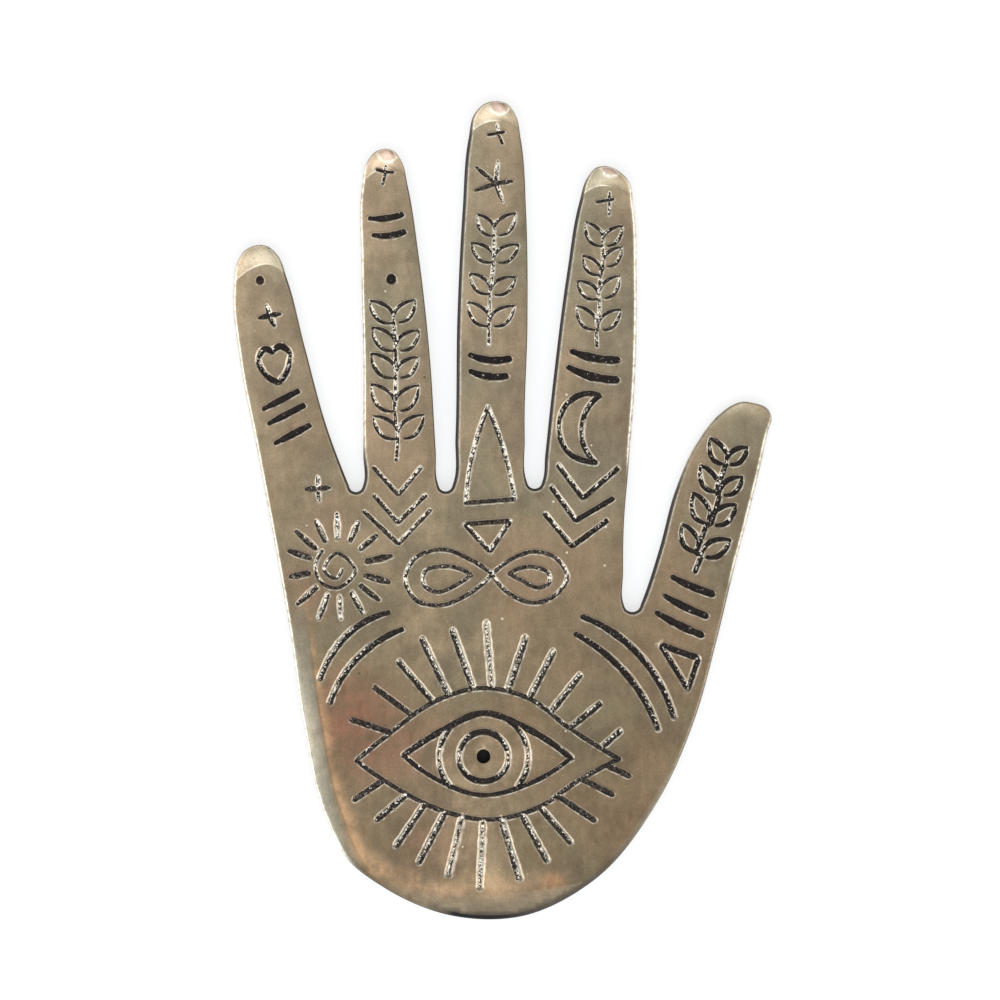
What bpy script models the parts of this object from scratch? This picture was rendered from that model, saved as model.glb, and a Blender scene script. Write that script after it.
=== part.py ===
"""Hand incense holder: a cast brass hand plate with engraved signs and the black lacquer that lies in them.

All sizes are in millimetres, and MM turns them into Blender's metres. The hand lies flat with its fingers
along +Y and its thumb at +X. A finger's own frame is (across, down): right of its axis, and below its tip.
"""

import math
from collections import Counter
from typing import NamedTuple

import bmesh
import bpy
from mathutils import Vector
from mathutils.geometry import delaunay_2d_cdt, interpolate_bezier

MM = 0.001

# The whole hand. The points of its plan, below, are given on a drawing that is PLAN_ACROSS by PLAN_DOWN units
HAND_WIDTH = 99.2
HAND_LENGTH = 150.6
PLAN_ACROSS = 99.2
PLAN_DOWN = 150.6

# The plate
PLATE_THICKNESS = 2.6
EDGE_ROUND = 0.6
FOOT_ROUND = 0.6
ROUND_STEPS = 2

# The curled fingertips: a band across each tip that bows down towards the finger's sides
TIP_RISE = 2.2
TIP_BAND = 3.7
TIP_BOW = 2.6
TIP_LINES = ((1.0, 0.6), (0.65, 0.35))

# The raised rim round the heel, which runs out further up on the left than on the right
HEEL_RISE = 1.5
HEEL_BAND = 5.0
HEEL_START_LEFT = -12.0
HEEL_START_RIGHT = -38.0
HEEL_FADE = 24.0
HEEL_MIDDLE = -2.6
HEEL_LEVELS = (0.3, 0.6, 1.0)

# The blind stick hole in the eye's pupil
HOLE_DIAMETER = 2.5
HOLE_DEPTH = 2.0
HOLE_SIDES = 24

# The grooves, and the lacquer in them
GROOVE_DEPTH = 0.9
LACQUER_DROP = 0.35
LACQUER_SIDE_GAP = 0.08
LACQUER_FLOOR_GAP = 0.03
BAR_WIDTH = 1.4
BAR_END = 0.4
LASH_WIDTH = 1.6
LINE_WIDTH = 1.15
LEAF_LINE_WIDTH = 0.85
LEAF_FATNESS = 0.24
LEAF_TAPER = 0.8
LEAF_LOW = 0.35
LEAF_HIGH = 0.7
CUTTER_LIFT = 3.0

# How coarse the curves are, and how near two points are to count as one
OUTLINE_WITHIN = 0.06
SIGN_WITHIN = 0.09
RING_SIDES = 24
DOT_SIDES = 12
MITRE_LIMIT = 1.5
JOIN_WITHIN = 0.002


def from_plan(x, y):
    """A point of the drawing, in millimetres."""
    return Vector((x * HAND_WIDTH / PLAN_ACROSS, y * HAND_LENGTH / PLAN_DOWN))


def to_plan(point):
    return Vector((point.x * PLAN_ACROSS / HAND_WIDTH, point.y * PLAN_DOWN / HAND_LENGTH))


class Finger(NamedTuple):
    """A finger's root, lean to the right in degrees, length, and rows of (down, left width, right width)."""

    root: tuple
    lean: float
    length: float
    widths: tuple
    curl: float = 1.0

    def tip_half(self, across):
        return self.widths[2][1 if across < 0 else 2]

    def at(self, across, down):
        lean = math.radians(self.lean)
        along = Vector((math.sin(lean), math.cos(lean)))
        right = Vector((math.cos(lean), -math.sin(lean)))
        return from_plan(*(Vector(self.root) + along * (self.length - down) + right * across))

    def local(self, point):
        offset = to_plan(point) - to_plan(self.at(0, 0))
        lean = math.radians(self.lean)
        return (
            offset.x * math.cos(lean) - offset.y * math.sin(lean),
            -offset.x * math.sin(lean) - offset.y * math.cos(lean),
        )


class Palm:
    """The palm's frame: the plan of the whole hand."""

    def at(self, x, y):
        return from_plan(x, y)


class Stroke(NamedTuple):
    """One line of a sign: its points in plan, its groove's width, and how it ends."""

    points: list
    width: float
    closed: bool = False
    square_end: bool = False


LITTLE = Finger(
    (-36.5, 5.2), -10.5, 44.0,
    ((0.5, 2.9, 1.35), (2.4, 4.75, 2.85), (7, 6.35, 3.75), (20, 7.6, 4.7), (36, 7.5, 6.1))
)
RING = Finger(
    (-18.8, 5.2), -2.6, 61.0,
    ((0.4, 1.65, 1.55), (2.4, 3.5, 3.0), (7, 4.65, 3.95), (20, 5.35, 5.4), (40, 5.85, 6.65), (56, 6.6, 6.9))
)
MIDDLE = Finger(
    (-2.3, 5.2), 0.8, 69.7,
    ((0.4, 1.7, 2.2), (2.4, 3.75, 3.85), (7, 4.8, 4.95), (20, 5.7, 6.1), (40, 6.4, 6.65), (62, 6.45, 6.45))
)
INDEX = Finger(
    (15.0, 5.2), 3.9, 57.9,
    ((0.4, 1.6, 1.9), (2.4, 3.15, 4.55), (7, 4.3, 5.85), (20, 5.65, 7.3), (40, 6.85, 8.3), (54, 7.4, 8.2))
)
# The straight edge that runs on from the index finger to the thumb's notch
INDEX_EDGE = ((22.5, -3.0), (22.35, -12.0))
THUMB = Finger(
    (33.5, -16.9), 18.4, 38.4,
    ((0.3, 1.3, 3.8), (1.5, 2.9, 4.82), (4, 4.7, 4.65), (10, 6.9, 5.4), (20, 7.9, 6.4), (31, 7.3, 7.1)), 0.4,
)
PALM = Palm()
FINGERS = (LITTLE, RING, MIDDLE, INDEX, THUMB)

# The bottom of the notch to the right of each finger but the thumb: its middle and its radius
NOTCHES = ((-26.9, 4.3, 1.3), (-10.4, 4.4, 1.3), (6.0, 5.0, 1.4), (24.0, -17.5, 1.6))

# The palm's edge from below the thumb, round the heel, to below the little finger
PALM_EDGE = (
    (39.6, -24.3),
    (35.5, -39.0),
    (28.9, -53.7),
    (17.1, -68.4),
    (3.7, -75.1),
    (-8.8, -75.1),
    (-21.7, -69.9),
    (-28.3, -64.8),
    (-32.2, -57.4),
    (-36.6, -39.0),
    (-38.8, -24.3),
    (-41.2, -10.5),
)

# Bars: the finger, then each bar's two ends and how far its middle sags
BARS = {
    "little": (
        LITTLE,
        ((-5.3, 29.9), (2.3, 27.6), 0.0),
        ((-4.8, 32.7), (2.8, 30.4), 0.0),
        ((-4.3, 36.5), (3.2, 34.2), 0.0),
    ),
    "ring": (RING, ((-3.8, 12.7), (2.9, 12.2), 0.35), ((-3.3, 15.8), (3.2, 15.4), 0.4)),
    "middle": (MIDDLE, ((-4.2, 46.7), (3.7, 47.4), 0.6), ((-4.1, 49.7), (3.2, 50.6), 0.5)),
    "index": (INDEX, ((-4.0, 34.4), (5.2, 35.5), 0.45), ((-4.5, 37.3), (5.2, 39.2), 0.55)),
    "thumb": (
        THUMB,
        ((-3.7, 35.0), (5.0, 35.7), 0.2),
        ((-4.0, 38.7), (5.1, 39.9), 0.2),
        ((-4.4, 42.1), (5.4, 43.5), 0.2),
    ),
}

# Chevrons: the finger, then each one's left end, point and right end
CHEVRONS = {
    "ring": (
        RING,
        ((-4.6, 58.6), (-0.4, 63.7), (3.8, 59.0)),
        ((-4.7, 63.8), (-0.7, 68.8), (4.5, 64.1)),
        ((-6.7, 66.6), (-0.8, 72.7), (5.2, 66.9)),
    ),
    "index": (
        INDEX,
        ((-4.7, 55.6), (0.1, 61.2), (6.0, 55.4)),
        ((-5.7, 59.7), (-0.9, 65.4), (5.5, 61.0)),
        ((-6.5, 64.7), (-1.3, 70.2), (4.7, 65.1)),
    ),
}

TRIANGLES = {
    "middle": (MIDDLE, (-4.4, 77.9), (3.9, 77.2), (0.2, 82.8)),
    "thumb": (THUMB, (-1.4, 47.6), (5.8, 47.7), (5.8, 53.6)),
}

# The tall tent on the middle finger: its point, the middles of its bowed sides and its feet
TENT_POINT = (-0.5, 56.3)
TENT_LEFT = ((-3.2, 65.0), (-4.3, 74.0))
TENT_RIGHT = ((2.8, 65.0), (4.6, 73.2))

# Stars and crosses: the frame, the middle, then the ends of the arms
STARS = {
    "little_star": (LITTLE, (-0.6, 13.1), (-0.8, 11.3), (-2.6, 13.2), (1.3, 13.2), (-0.1, 15.1)),
    "middle_star": (MIDDLE, (0.4, 15.1), (0.7, 11.1), (-3.2, 12.2), (-3.4, 16.5), (3.4, 14.7), (1.7, 18.4)),
    "palm_cross": (PALM, (-33.9, 3.6), (-33.9, 5.7), (-36.1, 3.5), (-31.7, 3.8), (-33.7, 1.4)),
}

# Dots: the finger, the middle and the radius
DOTS = {"little_dot": (LITTLE, (-1.2, 6.4), 1.0), "ring_dot": (RING, (0.1, 24.0), 1.1)}

# Leaf sprigs: the finger, the stem's foot, then each leaf's root on the stem and its tip, from the top down
SPRIGS = {
    "ring": (
        RING,
        (-0.5, 57.3),
        ((0.2, 32.1), (-4.0, 27.9)),
        ((0.2, 32.1), (4.3, 28.1)),
        ((0.3, 37.2), (-3.8, 32.8)),
        ((0.3, 37.2), (4.8, 33.7)),
        ((0.1, 42.2), (-4.2, 37.6)),
        ((0.1, 42.2), (4.3, 38.6)),
        ((-0.4, 48.4), (-4.4, 43.2)),
        ((-0.4, 48.4), (4.2, 43.8)),
        ((0.0, 53.4), (-4.3, 49.1)),
        ((0.0, 53.4), (4.9, 49.3)),
    ),
    "middle": (
        MIDDLE,
        (-0.5, 44.7),
        ((0.2, 24.8), (-2.9, 20.9)),
        ((0.2, 24.8), (4.1, 20.6)),
        ((0.2, 29.6), (-3.9, 26.2)),
        ((0.2, 29.6), (4.7, 26.4)),
        ((-0.4, 35.5), (-4.1, 31.8)),
        ((-0.4, 35.5), (4.3, 32.4)),
        ((-0.5, 41.4), (-4.4, 37.1)),
        ((-0.5, 41.4), (4.1, 37.7)),
    ),
    "index": (
        INDEX,
        (0.8, 33.1),
        ((0.6, 14.8), (-2.8, 10.6)),
        ((0.6, 14.8), (3.9, 10.8)),
        ((0.9, 18.6), (4.1, 14.7)),
        ((0.5, 20.1), (-2.9, 16.8)),
        ((0.5, 24.5), (-3.6, 21.5)),
        ((0.7, 24.5), (4.0, 20.0)),
        ((0.4, 30.2), (-3.4, 26.1)),
        ((0.8, 30.2), (4.6, 26.2)),
    ),
    "thumb": (
        THUMB,
        (0.2, 32.7),
        ((-0.7, 12.4), (-4.8, 8.7)),
        ((-0.5, 12.3), (2.1, 8.1)),
        ((-0.7, 17.7), (-4.9, 14.0)),
        ((0.1, 18.0), (3.0, 13.6)),
        ((-0.5, 23.8), (-4.5, 19.2)),
        ((0.2, 23.8), (3.5, 18.8)),
        ((-0.7, 29.3), (-4.7, 25.3)),
        ((0.4, 29.7), (4.5, 25.3)),
    ),
}

# The heart on the little finger: its notch, round one lobe to its point, and back
HEART_LEFT = ((-1.4, 19.7), (-2.8, 19.0), (-4.1, 20.4), (-3.7, 22.9), (-1.3, 25.5))
HEART_RIGHT = ((-1.4, 19.7), (0.2, 19.0), (1.7, 20.3), (1.3, 22.3), (-1.3, 25.5))

# The moon on the index finger, from its upper tip to its lower one
MOON_OUTER = ((1.8, 42.2), (-0.6, 42.0), (-4.2, 44.3), (-5.2, 48.4), (-3.4, 52.7), (1.9, 54.5))
MOON_INNER = ((1.8, 42.2), (-0.5, 45.3), (-0.9, 49.8), (1.9, 54.5))

# The sun on the palm: its spiral as (degrees, radius), and its rays as (degrees, outer radius)
SUN_MIDDLE = (-30.5, -11.4)
SUN_SPIRAL = (
    (127, 4.4), (180, 3.8), (225, 3.5), (270, 3.3), (360, 3.5), (450, 3.1), (540, 2.2), (630, 1.5), (720, 1.0)
)
RAY_MIDDLE = (-30.2, -10.9)
RAY_INNER = 5.5
RAY_WIDTH = 1.2
RAYS = (
    (91, 9.7),
    (66, 8.9),
    (40, 9.1),
    (12, 10.0),
    (-16, 9.7),
    (-38, 9.5),
    (-61, 9.5),
    (-87, 9.3),
    (-111, 9.9),
    (-138, 9.9),
    (-169, 8.9),
    (161, 9.4),
    (139, 10.0),
    (115, 9.3),
)

# The two pairs of arcs beside the eye
ARCS = {
    "left_outer": ((-20.9, -19.2), (-26.9, -21.9), (-31.0, -26.2), (-33.5, -31.3)),
    "left_inner": ((-18.4, -22.3), (-23.9, -25.2), (-28.9, -30.2), (-31.7, -35.7)),
    "right_outer": ((14.9, -20.0), (21.7, -23.7), (28.2, -30.7), (31.6, -38.3)),
    "right_inner": ((13.7, -23.2), (19.0, -26.7), (24.8, -32.9), (28.7, -40.5)),
}

# The infinity sign: its two loops from where they cross, and the drop in each loop from its point
INFINITY_LOOPS = (
    (
        (-1.8, -12.1), (-5.7, -9.5), (-11.2, -7.6), (-16.2, -9.4),
        (-17.8, -12.9), (-15.5, -17.1), (-12.0, -17.9), (-5.9, -15.6),
    ),
    (
        (-1.8, -12.1), (1.5, -9.5), (6.1, -8.0), (10.1, -9.3),
        (12.0, -12.5), (9.9, -15.9), (6.3, -17.4), (1.1, -15.5),
    ),
)
INFINITY_DROPS = {
    "left": ((-5.7, -12.2), (-11.2, -10.7), (-14.2, -11.6), (-14.4, -14.0), (-12.1, -15.4), (-8.6, -14.2)),
    "right": ((1.3, -12.0), (6.4, -10.9), (8.6, -12.0), (8.6, -13.8), (6.8, -14.6), (3.7, -13.3)),
}

# The eye: its lids, its inner almond, its iris and its lashes as (tip, root on the lid)
LID_CORNERS = ((-26.8, -46.4), (21.5, -46.1))
UPPER_LID = ((-20.4, -41.2), (-12.7, -35.7), (-3.7, -33.1), (5.2, -35.1), (12.1, -40.2))
LOWER_LID = ((-19.7, -51.3), (-11.4, -55.5), (-2.8, -57.3), (5.7, -55.5), (14.4, -49.9))
ALMOND_CORNERS = ((-18.1, -45.4), (12.7, -45.9))
UPPER_ALMOND = ((-11.4, -41.1), (-3.3, -37.7), (4.2, -40.3))
LOWER_ALMOND = ((-11.4, -50.2), (-3.7, -52.8), (4.2, -51.0))
IRIS_MIDDLE = (-3.4, -45.7)
IRIS_RADIUS = 8.2
IRIS_ARCS = ((137, 221), (-40, 55))
PUPIL_RING_RADIUS = 4.55
UPPER_LASHES = (
    ((-27.6, -38.9), (-20.8, -40.9)),
    ((-23.3, -33.0), (-16.9, -37.5)),
    ((-18.8, -28.4), (-12.7, -35.5)),
    ((-14.6, -24.2), (-9.9, -34.0)),
    ((-9.0, -22.7), (-5.3, -33.3)),
    ((-2.9, -21.3), (-1.9, -32.9)),
    ((4.2, -24.0), (1.1, -33.1)),
    ((9.3, -26.5), (5.0, -34.8)),
    ((14.2, -30.8), (9.0, -37.4)),
    ((17.9, -36.0), (12.7, -40.1)),
    ((21.6, -41.0), (18.3, -43.8)),
)
LOWER_LASHES = (
    ((-27.1, -53.5), (-21.9, -50.1)),
    ((-23.0, -57.2), (-18.0, -53.4)),
    ((-19.4, -61.9), (-14.4, -54.7)),
    ((-15.3, -65.0), (-10.8, -56.8)),
    ((-9.9, -67.3), (-7.5, -57.5)),
    ((-4.1, -69.7), (-3.5, -57.8)),
    ((3.2, -67.9), (0.0, -58.0)),
    ((8.2, -64.6), (3.9, -57.2)),
    ((12.5, -61.3), (7.4, -55.8)),
    ((16.9, -57.3), (10.7, -53.5)),
    ((20.2, -52.6), (14.9, -50.2)),
    ((23.3, -49.2), (19.5, -47.9)),
)

BRASS_COLOUR = (0.36, 0.28, 0.17, 1.0)
LACQUER_COLOUR = (0.012, 0.010, 0.010, 1.0)


def hand_middle():
    """The middle of the hand's plan, which becomes the origin."""
    edge = hand_outline()
    xs = [p.x for p in edge]
    ys = [p.y for p in edge]
    return Vector(((min(xs) + max(xs)) / 2, (min(ys) + max(ys)) / 2, 0))


def clear_scene():
    for obj in list(bpy.data.objects):
        bpy.data.objects.remove(obj, do_unlink=True)


def new_collection(name):
    collection = bpy.data.collections.new(name)
    bpy.context.scene.collection.children.link(collection)
    return collection


def new_material(name, colour, metallic, roughness):
    material = bpy.data.materials.new(name)
    material.use_nodes = True
    shader = material.node_tree.nodes["Principled BSDF"]
    shader.inputs["Base Color"].default_value = colour
    shader.inputs["Metallic"].default_value = metallic
    shader.inputs["Roughness"].default_value = roughness
    return material


def new_object(name, mesh_from, collection, material=None):
    mesh = bpy.data.meshes.new(name)
    bmesh.ops.recalc_face_normals(mesh_from, faces=mesh_from.faces)
    bmesh.ops.translate(mesh_from, verts=mesh_from.verts, vec=-hand_middle() * MM)
    mesh_from.to_mesh(mesh)
    mesh_from.free()
    obj = bpy.data.objects.new(name, mesh)
    collection.objects.link(obj)
    if material:
        mesh.materials.append(material)
    return obj


def smooth_step(value):
    value = min(max(value, 0.0), 1.0)
    return value * value * (3 - 2 * value)


def spline(anchors, closed, within):
    """Points of a smooth curve through the anchors, whose straight steps stay within this of it."""
    anchors = [Vector(a) for a in anchors]
    count = len(anchors)

    def slope(i):
        if not closed and i in (0, count - 1):
            return None
        before = anchors[i] - anchors[i - 1]
        after = anchors[(i + 1) % count] - anchors[i]
        a, b = before.length, after.length
        return (before * (b / a) + after * (a / b)) / (a + b)

    slopes = [slope(i) for i in range(count)]
    if not closed:
        first, last = anchors[1] - anchors[0], anchors[-1] - anchors[-2]
        slopes[0] = first * (2 / first.length) - slopes[1] if count > 2 else first.normalized()
        slopes[-1] = last * (2 / last.length) - slopes[-2] if count > 2 else last.normalized()
    points = []
    for i in range(count if closed else count - 1):
        start, end = anchors[i], anchors[(i + 1) % count]
        leave, arrive = slopes[i], slopes[(i + 1) % count]
        reach = (end - start).length / 3
        chord = end - start
        bend = abs(leave.angle_signed(chord)) + abs(chord.angle_signed(arrive))
        steps = max(1, math.ceil(math.sqrt(bend * chord.length / (8 * within))))
        handles = [v.to_3d() for v in (start, start + leave * reach, end - arrive * reach, end)]
        points += [p.to_2d() for p in interpolate_bezier(*handles, steps + 1)][:-1]
    return points if closed else points + [anchors[-1]]


def arc(middle, radius, start, end, steps):
    """Points of a circle's arc between two angles in degrees."""
    angles = [math.radians(start + (end - start) * i / steps) for i in range(steps + 1)]
    return [Vector(middle) + radius * Vector((math.cos(a), math.sin(a))) for a in angles]


def hand_outline():
    """The hand's edge in plan, clockwise from the little finger's root."""
    anchors = []
    for finger, notch in zip(FINGERS, NOTCHES + (None,)):
        anchors += [finger.at(-left, down) for down, left, _ in reversed(finger.widths)]
        anchors.append(finger.at(0, 0))
        anchors += [finger.at(right, down) for down, _, right in finger.widths]
        if finger is INDEX:
            anchors += [PALM.at(*p) for p in INDEX_EDGE]
        if notch:
            x, y, radius = notch
            anchors += arc(PALM.at(x, y), radius, 180, 360, 2)
    anchors += [PALM.at(*p) for p in PALM_EDGE]
    return spline(anchors, True, OUTLINE_WITHIN)


def inward_normals(loop):
    normals = []
    for i, point in enumerate(loop):
        before = (point - loop[i - 1]).normalized()
        after = (loop[(i + 1) % len(loop)] - point).normalized()
        along = (before + after).normalized()
        normals.append(Vector((along.y, -along.x)))
    return normals


def crease_down(share):
    """How far below a fingertip its curl starts, at a share of the finger's half-width."""
    return TIP_BAND + TIP_BOW * share**2


def tip_lift(point):
    """How far a curled fingertip raises the plate at a point."""
    for finger in FINGERS:
        across, down = finger.local(point)
        share = across / finger.tip_half(across)
        if abs(share) < 2 and -TIP_BAND < down < crease_down(share):
            return TIP_RISE * finger.curl * ((crease_down(share) - down) / TIP_BAND) ** 2
    return 0.0


def heel_weight(point):
    x, y = to_plan(point)
    start = HEEL_START_LEFT if x < HEEL_MIDDLE else HEEL_START_RIGHT
    return smooth_step((start - y) / HEEL_FADE)


def heel_lift(point, edge):
    """How far the rim round the heel raises the plate at a point, from its distance inside the edge."""
    if heel_weight(point) == 0:
        return 0.0
    depth = min((point - p).length for p in edge)
    return HEEL_RISE * heel_weight(point) * max(0.0, 1 - depth / HEEL_BAND) ** 2


def tip_lines():
    """Lines across each fingertip, where its plate bends."""
    found = []
    for finger in FINGERS:
        for level, reach in TIP_LINES:
            line = []
            for share in (-reach, 0, reach):
                line.append(finger.at(share * finger.tip_half(share), level * crease_down(share)))
            found.append(line)
    return found


def heel_lines(edge):
    """Lines along the heel, inside the edge."""
    normals = inward_normals(edge)
    heel = [i for i in range(len(edge)) if heel_weight(edge[i]) > 0]
    return [[edge[i] + normals[i] * HEEL_BAND * level for i in heel] for level in HEEL_LEVELS]


def cap_triangles(loop, edge):
    """Points and triangles that fill a loop, with the loop's points first, creased where the plate bends."""
    points = list(loop)
    edges = []
    for line in tip_lines() + heel_lines(edge):
        chain = range(len(points), len(points) + len(line))
        points += line
        edges += list(zip(chain, chain[1:]))
    turn_back = list(reversed(range(len(loop))))
    made, _, triangles, _, _, faces_of = delaunay_2d_cdt(points, edges, [turn_back], 0, JOIN_WITHIN)
    return made, [t for t, inside in zip(triangles, faces_of) if inside]


def hand_plate(collection, material):
    edge = hand_outline()
    normals = inward_normals(edge)
    quarter = [math.pi / 2 * i / ROUND_STEPS for i in range(ROUND_STEPS + 1)]
    foot = [(FOOT_ROUND * (1 - math.sin(a)), FOOT_ROUND * (1 - math.cos(a))) for a in quarter]
    brow_start = PLATE_THICKNESS - EDGE_ROUND
    brow = [(EDGE_ROUND * (1 - math.cos(a)), brow_start + EDGE_ROUND * math.sin(a)) for a in quarter]
    work = bmesh.new()

    def new_vertex(point, z):
        raised = z + tip_lift(point) + heel_lift(point, edge)
        return work.verts.new((point.x * MM, point.y * MM, raised * MM))

    rings = []
    for inset, z in foot + brow:
        loop = [p + n * inset for p, n in zip(edge, normals)]
        rings.append((loop, z, [new_vertex(p, z) for p in loop]))
    for (_, _, lower), (_, _, upper) in zip(rings, rings[1:]):
        for i in range(len(edge)):
            work.faces.new((lower[i - 1], lower[i], upper[i], upper[i - 1]))
    for loop, z, ring in (rings[0], rings[-1]):
        points, triangles = cap_triangles(loop, edge)
        vertices = ring + [new_vertex(p, z) for p in points[len(ring) :]]
        for triangle in triangles:
            work.faces.new([vertices[i] for i in triangle])
    return new_object("hand_plate", work, collection, material)


def ribbon(stroke, half_width):
    """The quads of a stroke of this half-width, with round ends where it is open."""
    points = [Vector(p) for p in stroke.points]
    if len(points) == 1:
        return [arc(points[0], half_width, 0, 360, DOT_SIDES)[:-1]]
    count = len(points)
    left, right = [], []
    for i, point in enumerate(points):
        before = point - points[i - 1] if i or stroke.closed else points[1] - point
        after = points[(i + 1) % count] - point if i < count - 1 or stroke.closed else before
        along = (before.normalized() + after.normalized()).normalized()
        mitre = min(MITRE_LIMIT, 1 / max(0.1, along.dot(after.normalized())))
        aside = Vector((-along.y, along.x)) * half_width * mitre
        left.append(point + aside)
        right.append(point - aside)
    last = count if stroke.closed else count - 1
    quads = [[left[i], right[i], right[(i + 1) % count], left[(i + 1) % count]] for i in range(last)]
    if not stroke.closed:
        ends = [(points[0], points[1]), (points[-1], points[-2])]
        for end, neighbour in ends[:1] if stroke.square_end else ends:
            out = math.degrees(math.atan2(end.y - neighbour.y, end.x - neighbour.x))
            quads.append(arc(end, half_width, out - 90, out + 90, 2))
    return quads


def holds(shape, point):
    """Whether a convex shape, given anticlockwise, holds a point."""
    return all((b - a).cross(point - a) >= 0 for a, b in zip(shape, shape[1:] + shape[:1]))


def covered(points, edges, shapes):
    """Points and triangles of the part of the plan that the shapes cover."""
    made, _, triangles, *_ = delaunay_2d_cdt(points, edges, [], 0, JOIN_WITHIN)
    kept = []
    for triangle in triangles:
        a, b, c = (made[i] for i in triangle)
        if any(holds(shape, (a + b + c) / 3) for shape in shapes):
            kept.append(triangle)
    return made, kept


def footprint(strokes, spare):
    """Points and triangles of the strokes' common area, spare narrower on each side."""
    shapes = [shape for stroke in strokes for shape in ribbon(stroke, stroke.width / 2 - spare)]
    points, edges = [], []
    for shape in shapes:
        ring = list(range(len(points), len(points) + len(shape)))
        edges += zip(ring, ring[1:] + ring[:1])
        points += shape
    points, triangles = covered(points, edges, shapes)
    sides = Counter(frozenset(pair) for t in triangles for pair in zip(t, t[1:] + t[:1]))
    rim = [tuple(side) for side, uses in sides.items() if uses == 1]
    corners = sorted({i for side in rim for i in side})
    place = {corner: i for i, corner in enumerate(corners)}
    return covered([points[i] for i in corners], [(place[a], place[b]) for a, b in rim], shapes)


def add_prism(work, strokes, spare, low, high):
    """Adds a solid of the strokes' common area between two heights."""
    points, triangles = footprint(strokes, spare)
    used = sorted({i for t in triangles for i in t})
    vertices = {i: work.verts.new((points[i].x * MM, points[i].y * MM, low * MM)) for i in used}
    base = [work.faces.new([vertices[i] for i in t]) for t in triangles]
    raised = bmesh.ops.extrude_face_region(work, geom=base)["geom"]
    top = [v for v in raised if isinstance(v, bmesh.types.BMVert)]
    bmesh.ops.translate(work, verts=top, vec=(0, 0, (high - low) * MM))


def lines(frame, points, width):
    """Straight strokes from each point to the next."""
    placed = [frame.at(*p) for p in points]
    return [Stroke([a, b], width) for a, b in zip(placed, placed[1:])]


def curve(frame, points, width, closed=False):
    return Stroke(spline([frame.at(*p) for p in points], closed, SIGN_WITHIN), width, closed)


def bar(frame, start, end, sag):
    """A bar between two ends, trimmed for its round caps, whose middle sags."""
    start, end = Vector(start), Vector(end)
    trim = BAR_END / (end - start).length
    middle = (start + end) / 2 + Vector((0, sag))
    points = [start.lerp(end, trim), middle, end.lerp(start, trim)]
    return [curve(frame, points if sag else points[::2], BAR_WIDTH)]


def leaf(frame, root, tip):
    """The edge of a leaf between its root and its tip."""
    root, tip = frame.at(*root), frame.at(*tip)
    aside = (tip - root).orthogonal() * LEAF_FATNESS
    low, high = root.lerp(tip, LEAF_LOW), root.lerp(tip, LEAF_HIGH)
    slim = aside * LEAF_TAPER
    edge = [root, low + aside, high + slim, tip, high - slim, low - aside]
    return [Stroke(edge, LEAF_LINE_WIDTH, True)]


def sprig(frame, foot, *leaves):
    stem = [root for root, _ in leaves]
    stem = sorted(set(stem), key=lambda p: p[1]) + [foot]
    return lines(frame, stem, LEAF_LINE_WIDTH) + [s for root, tip in leaves for s in leaf(frame, root, tip)]


def lash(tip, root, lid):
    """A straight stroke that ends on the lid."""
    tip, root = PALM.at(*tip), PALM.at(*root)
    return Stroke([tip, min(lid, key=lambda p: (p - root).length)], LASH_WIDTH, square_end=True)


def eye_lids():
    left, right = LID_CORNERS
    strokes = []
    for lid, lashes in ((UPPER_LID, UPPER_LASHES), (LOWER_LID, LOWER_LASHES)):
        line = curve(PALM, (left, *lid, right), LINE_WIDTH)
        fine = [a.lerp(b, t / 8) for a, b in zip(line.points, line.points[1:]) for t in range(8)]
        strokes.append(line)
        strokes += [lash(tip, root, fine) for tip, root in lashes]
    return strokes


def eye_almond():
    left, right = ALMOND_CORNERS
    strokes = [curve(PALM, (left, *half, right), LINE_WIDTH) for half in (UPPER_ALMOND, LOWER_ALMOND)]
    middle = PALM.at(*IRIS_MIDDLE)
    return strokes + [Stroke(arc(middle, IRIS_RADIUS, a, b, 6), LINE_WIDTH) for a, b in IRIS_ARCS]


def sun_ray(degrees, outer):
    aim = Vector((math.cos(math.radians(degrees)), math.sin(math.radians(degrees))))
    return [Stroke([PALM.at(*RAY_MIDDLE) + aim * r for r in (RAY_INNER, outer)], RAY_WIDTH)]


def sun_spiral():
    turned = [(math.radians(degrees), radius) for degrees, radius in SUN_SPIRAL]
    points = [PALM.at(*SUN_MIDDLE) + r * Vector((math.cos(a), math.sin(a))) for a, r in turned]
    return [Stroke(spline(points, False, SIGN_WITHIN), LEAF_LINE_WIDTH)]


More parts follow.
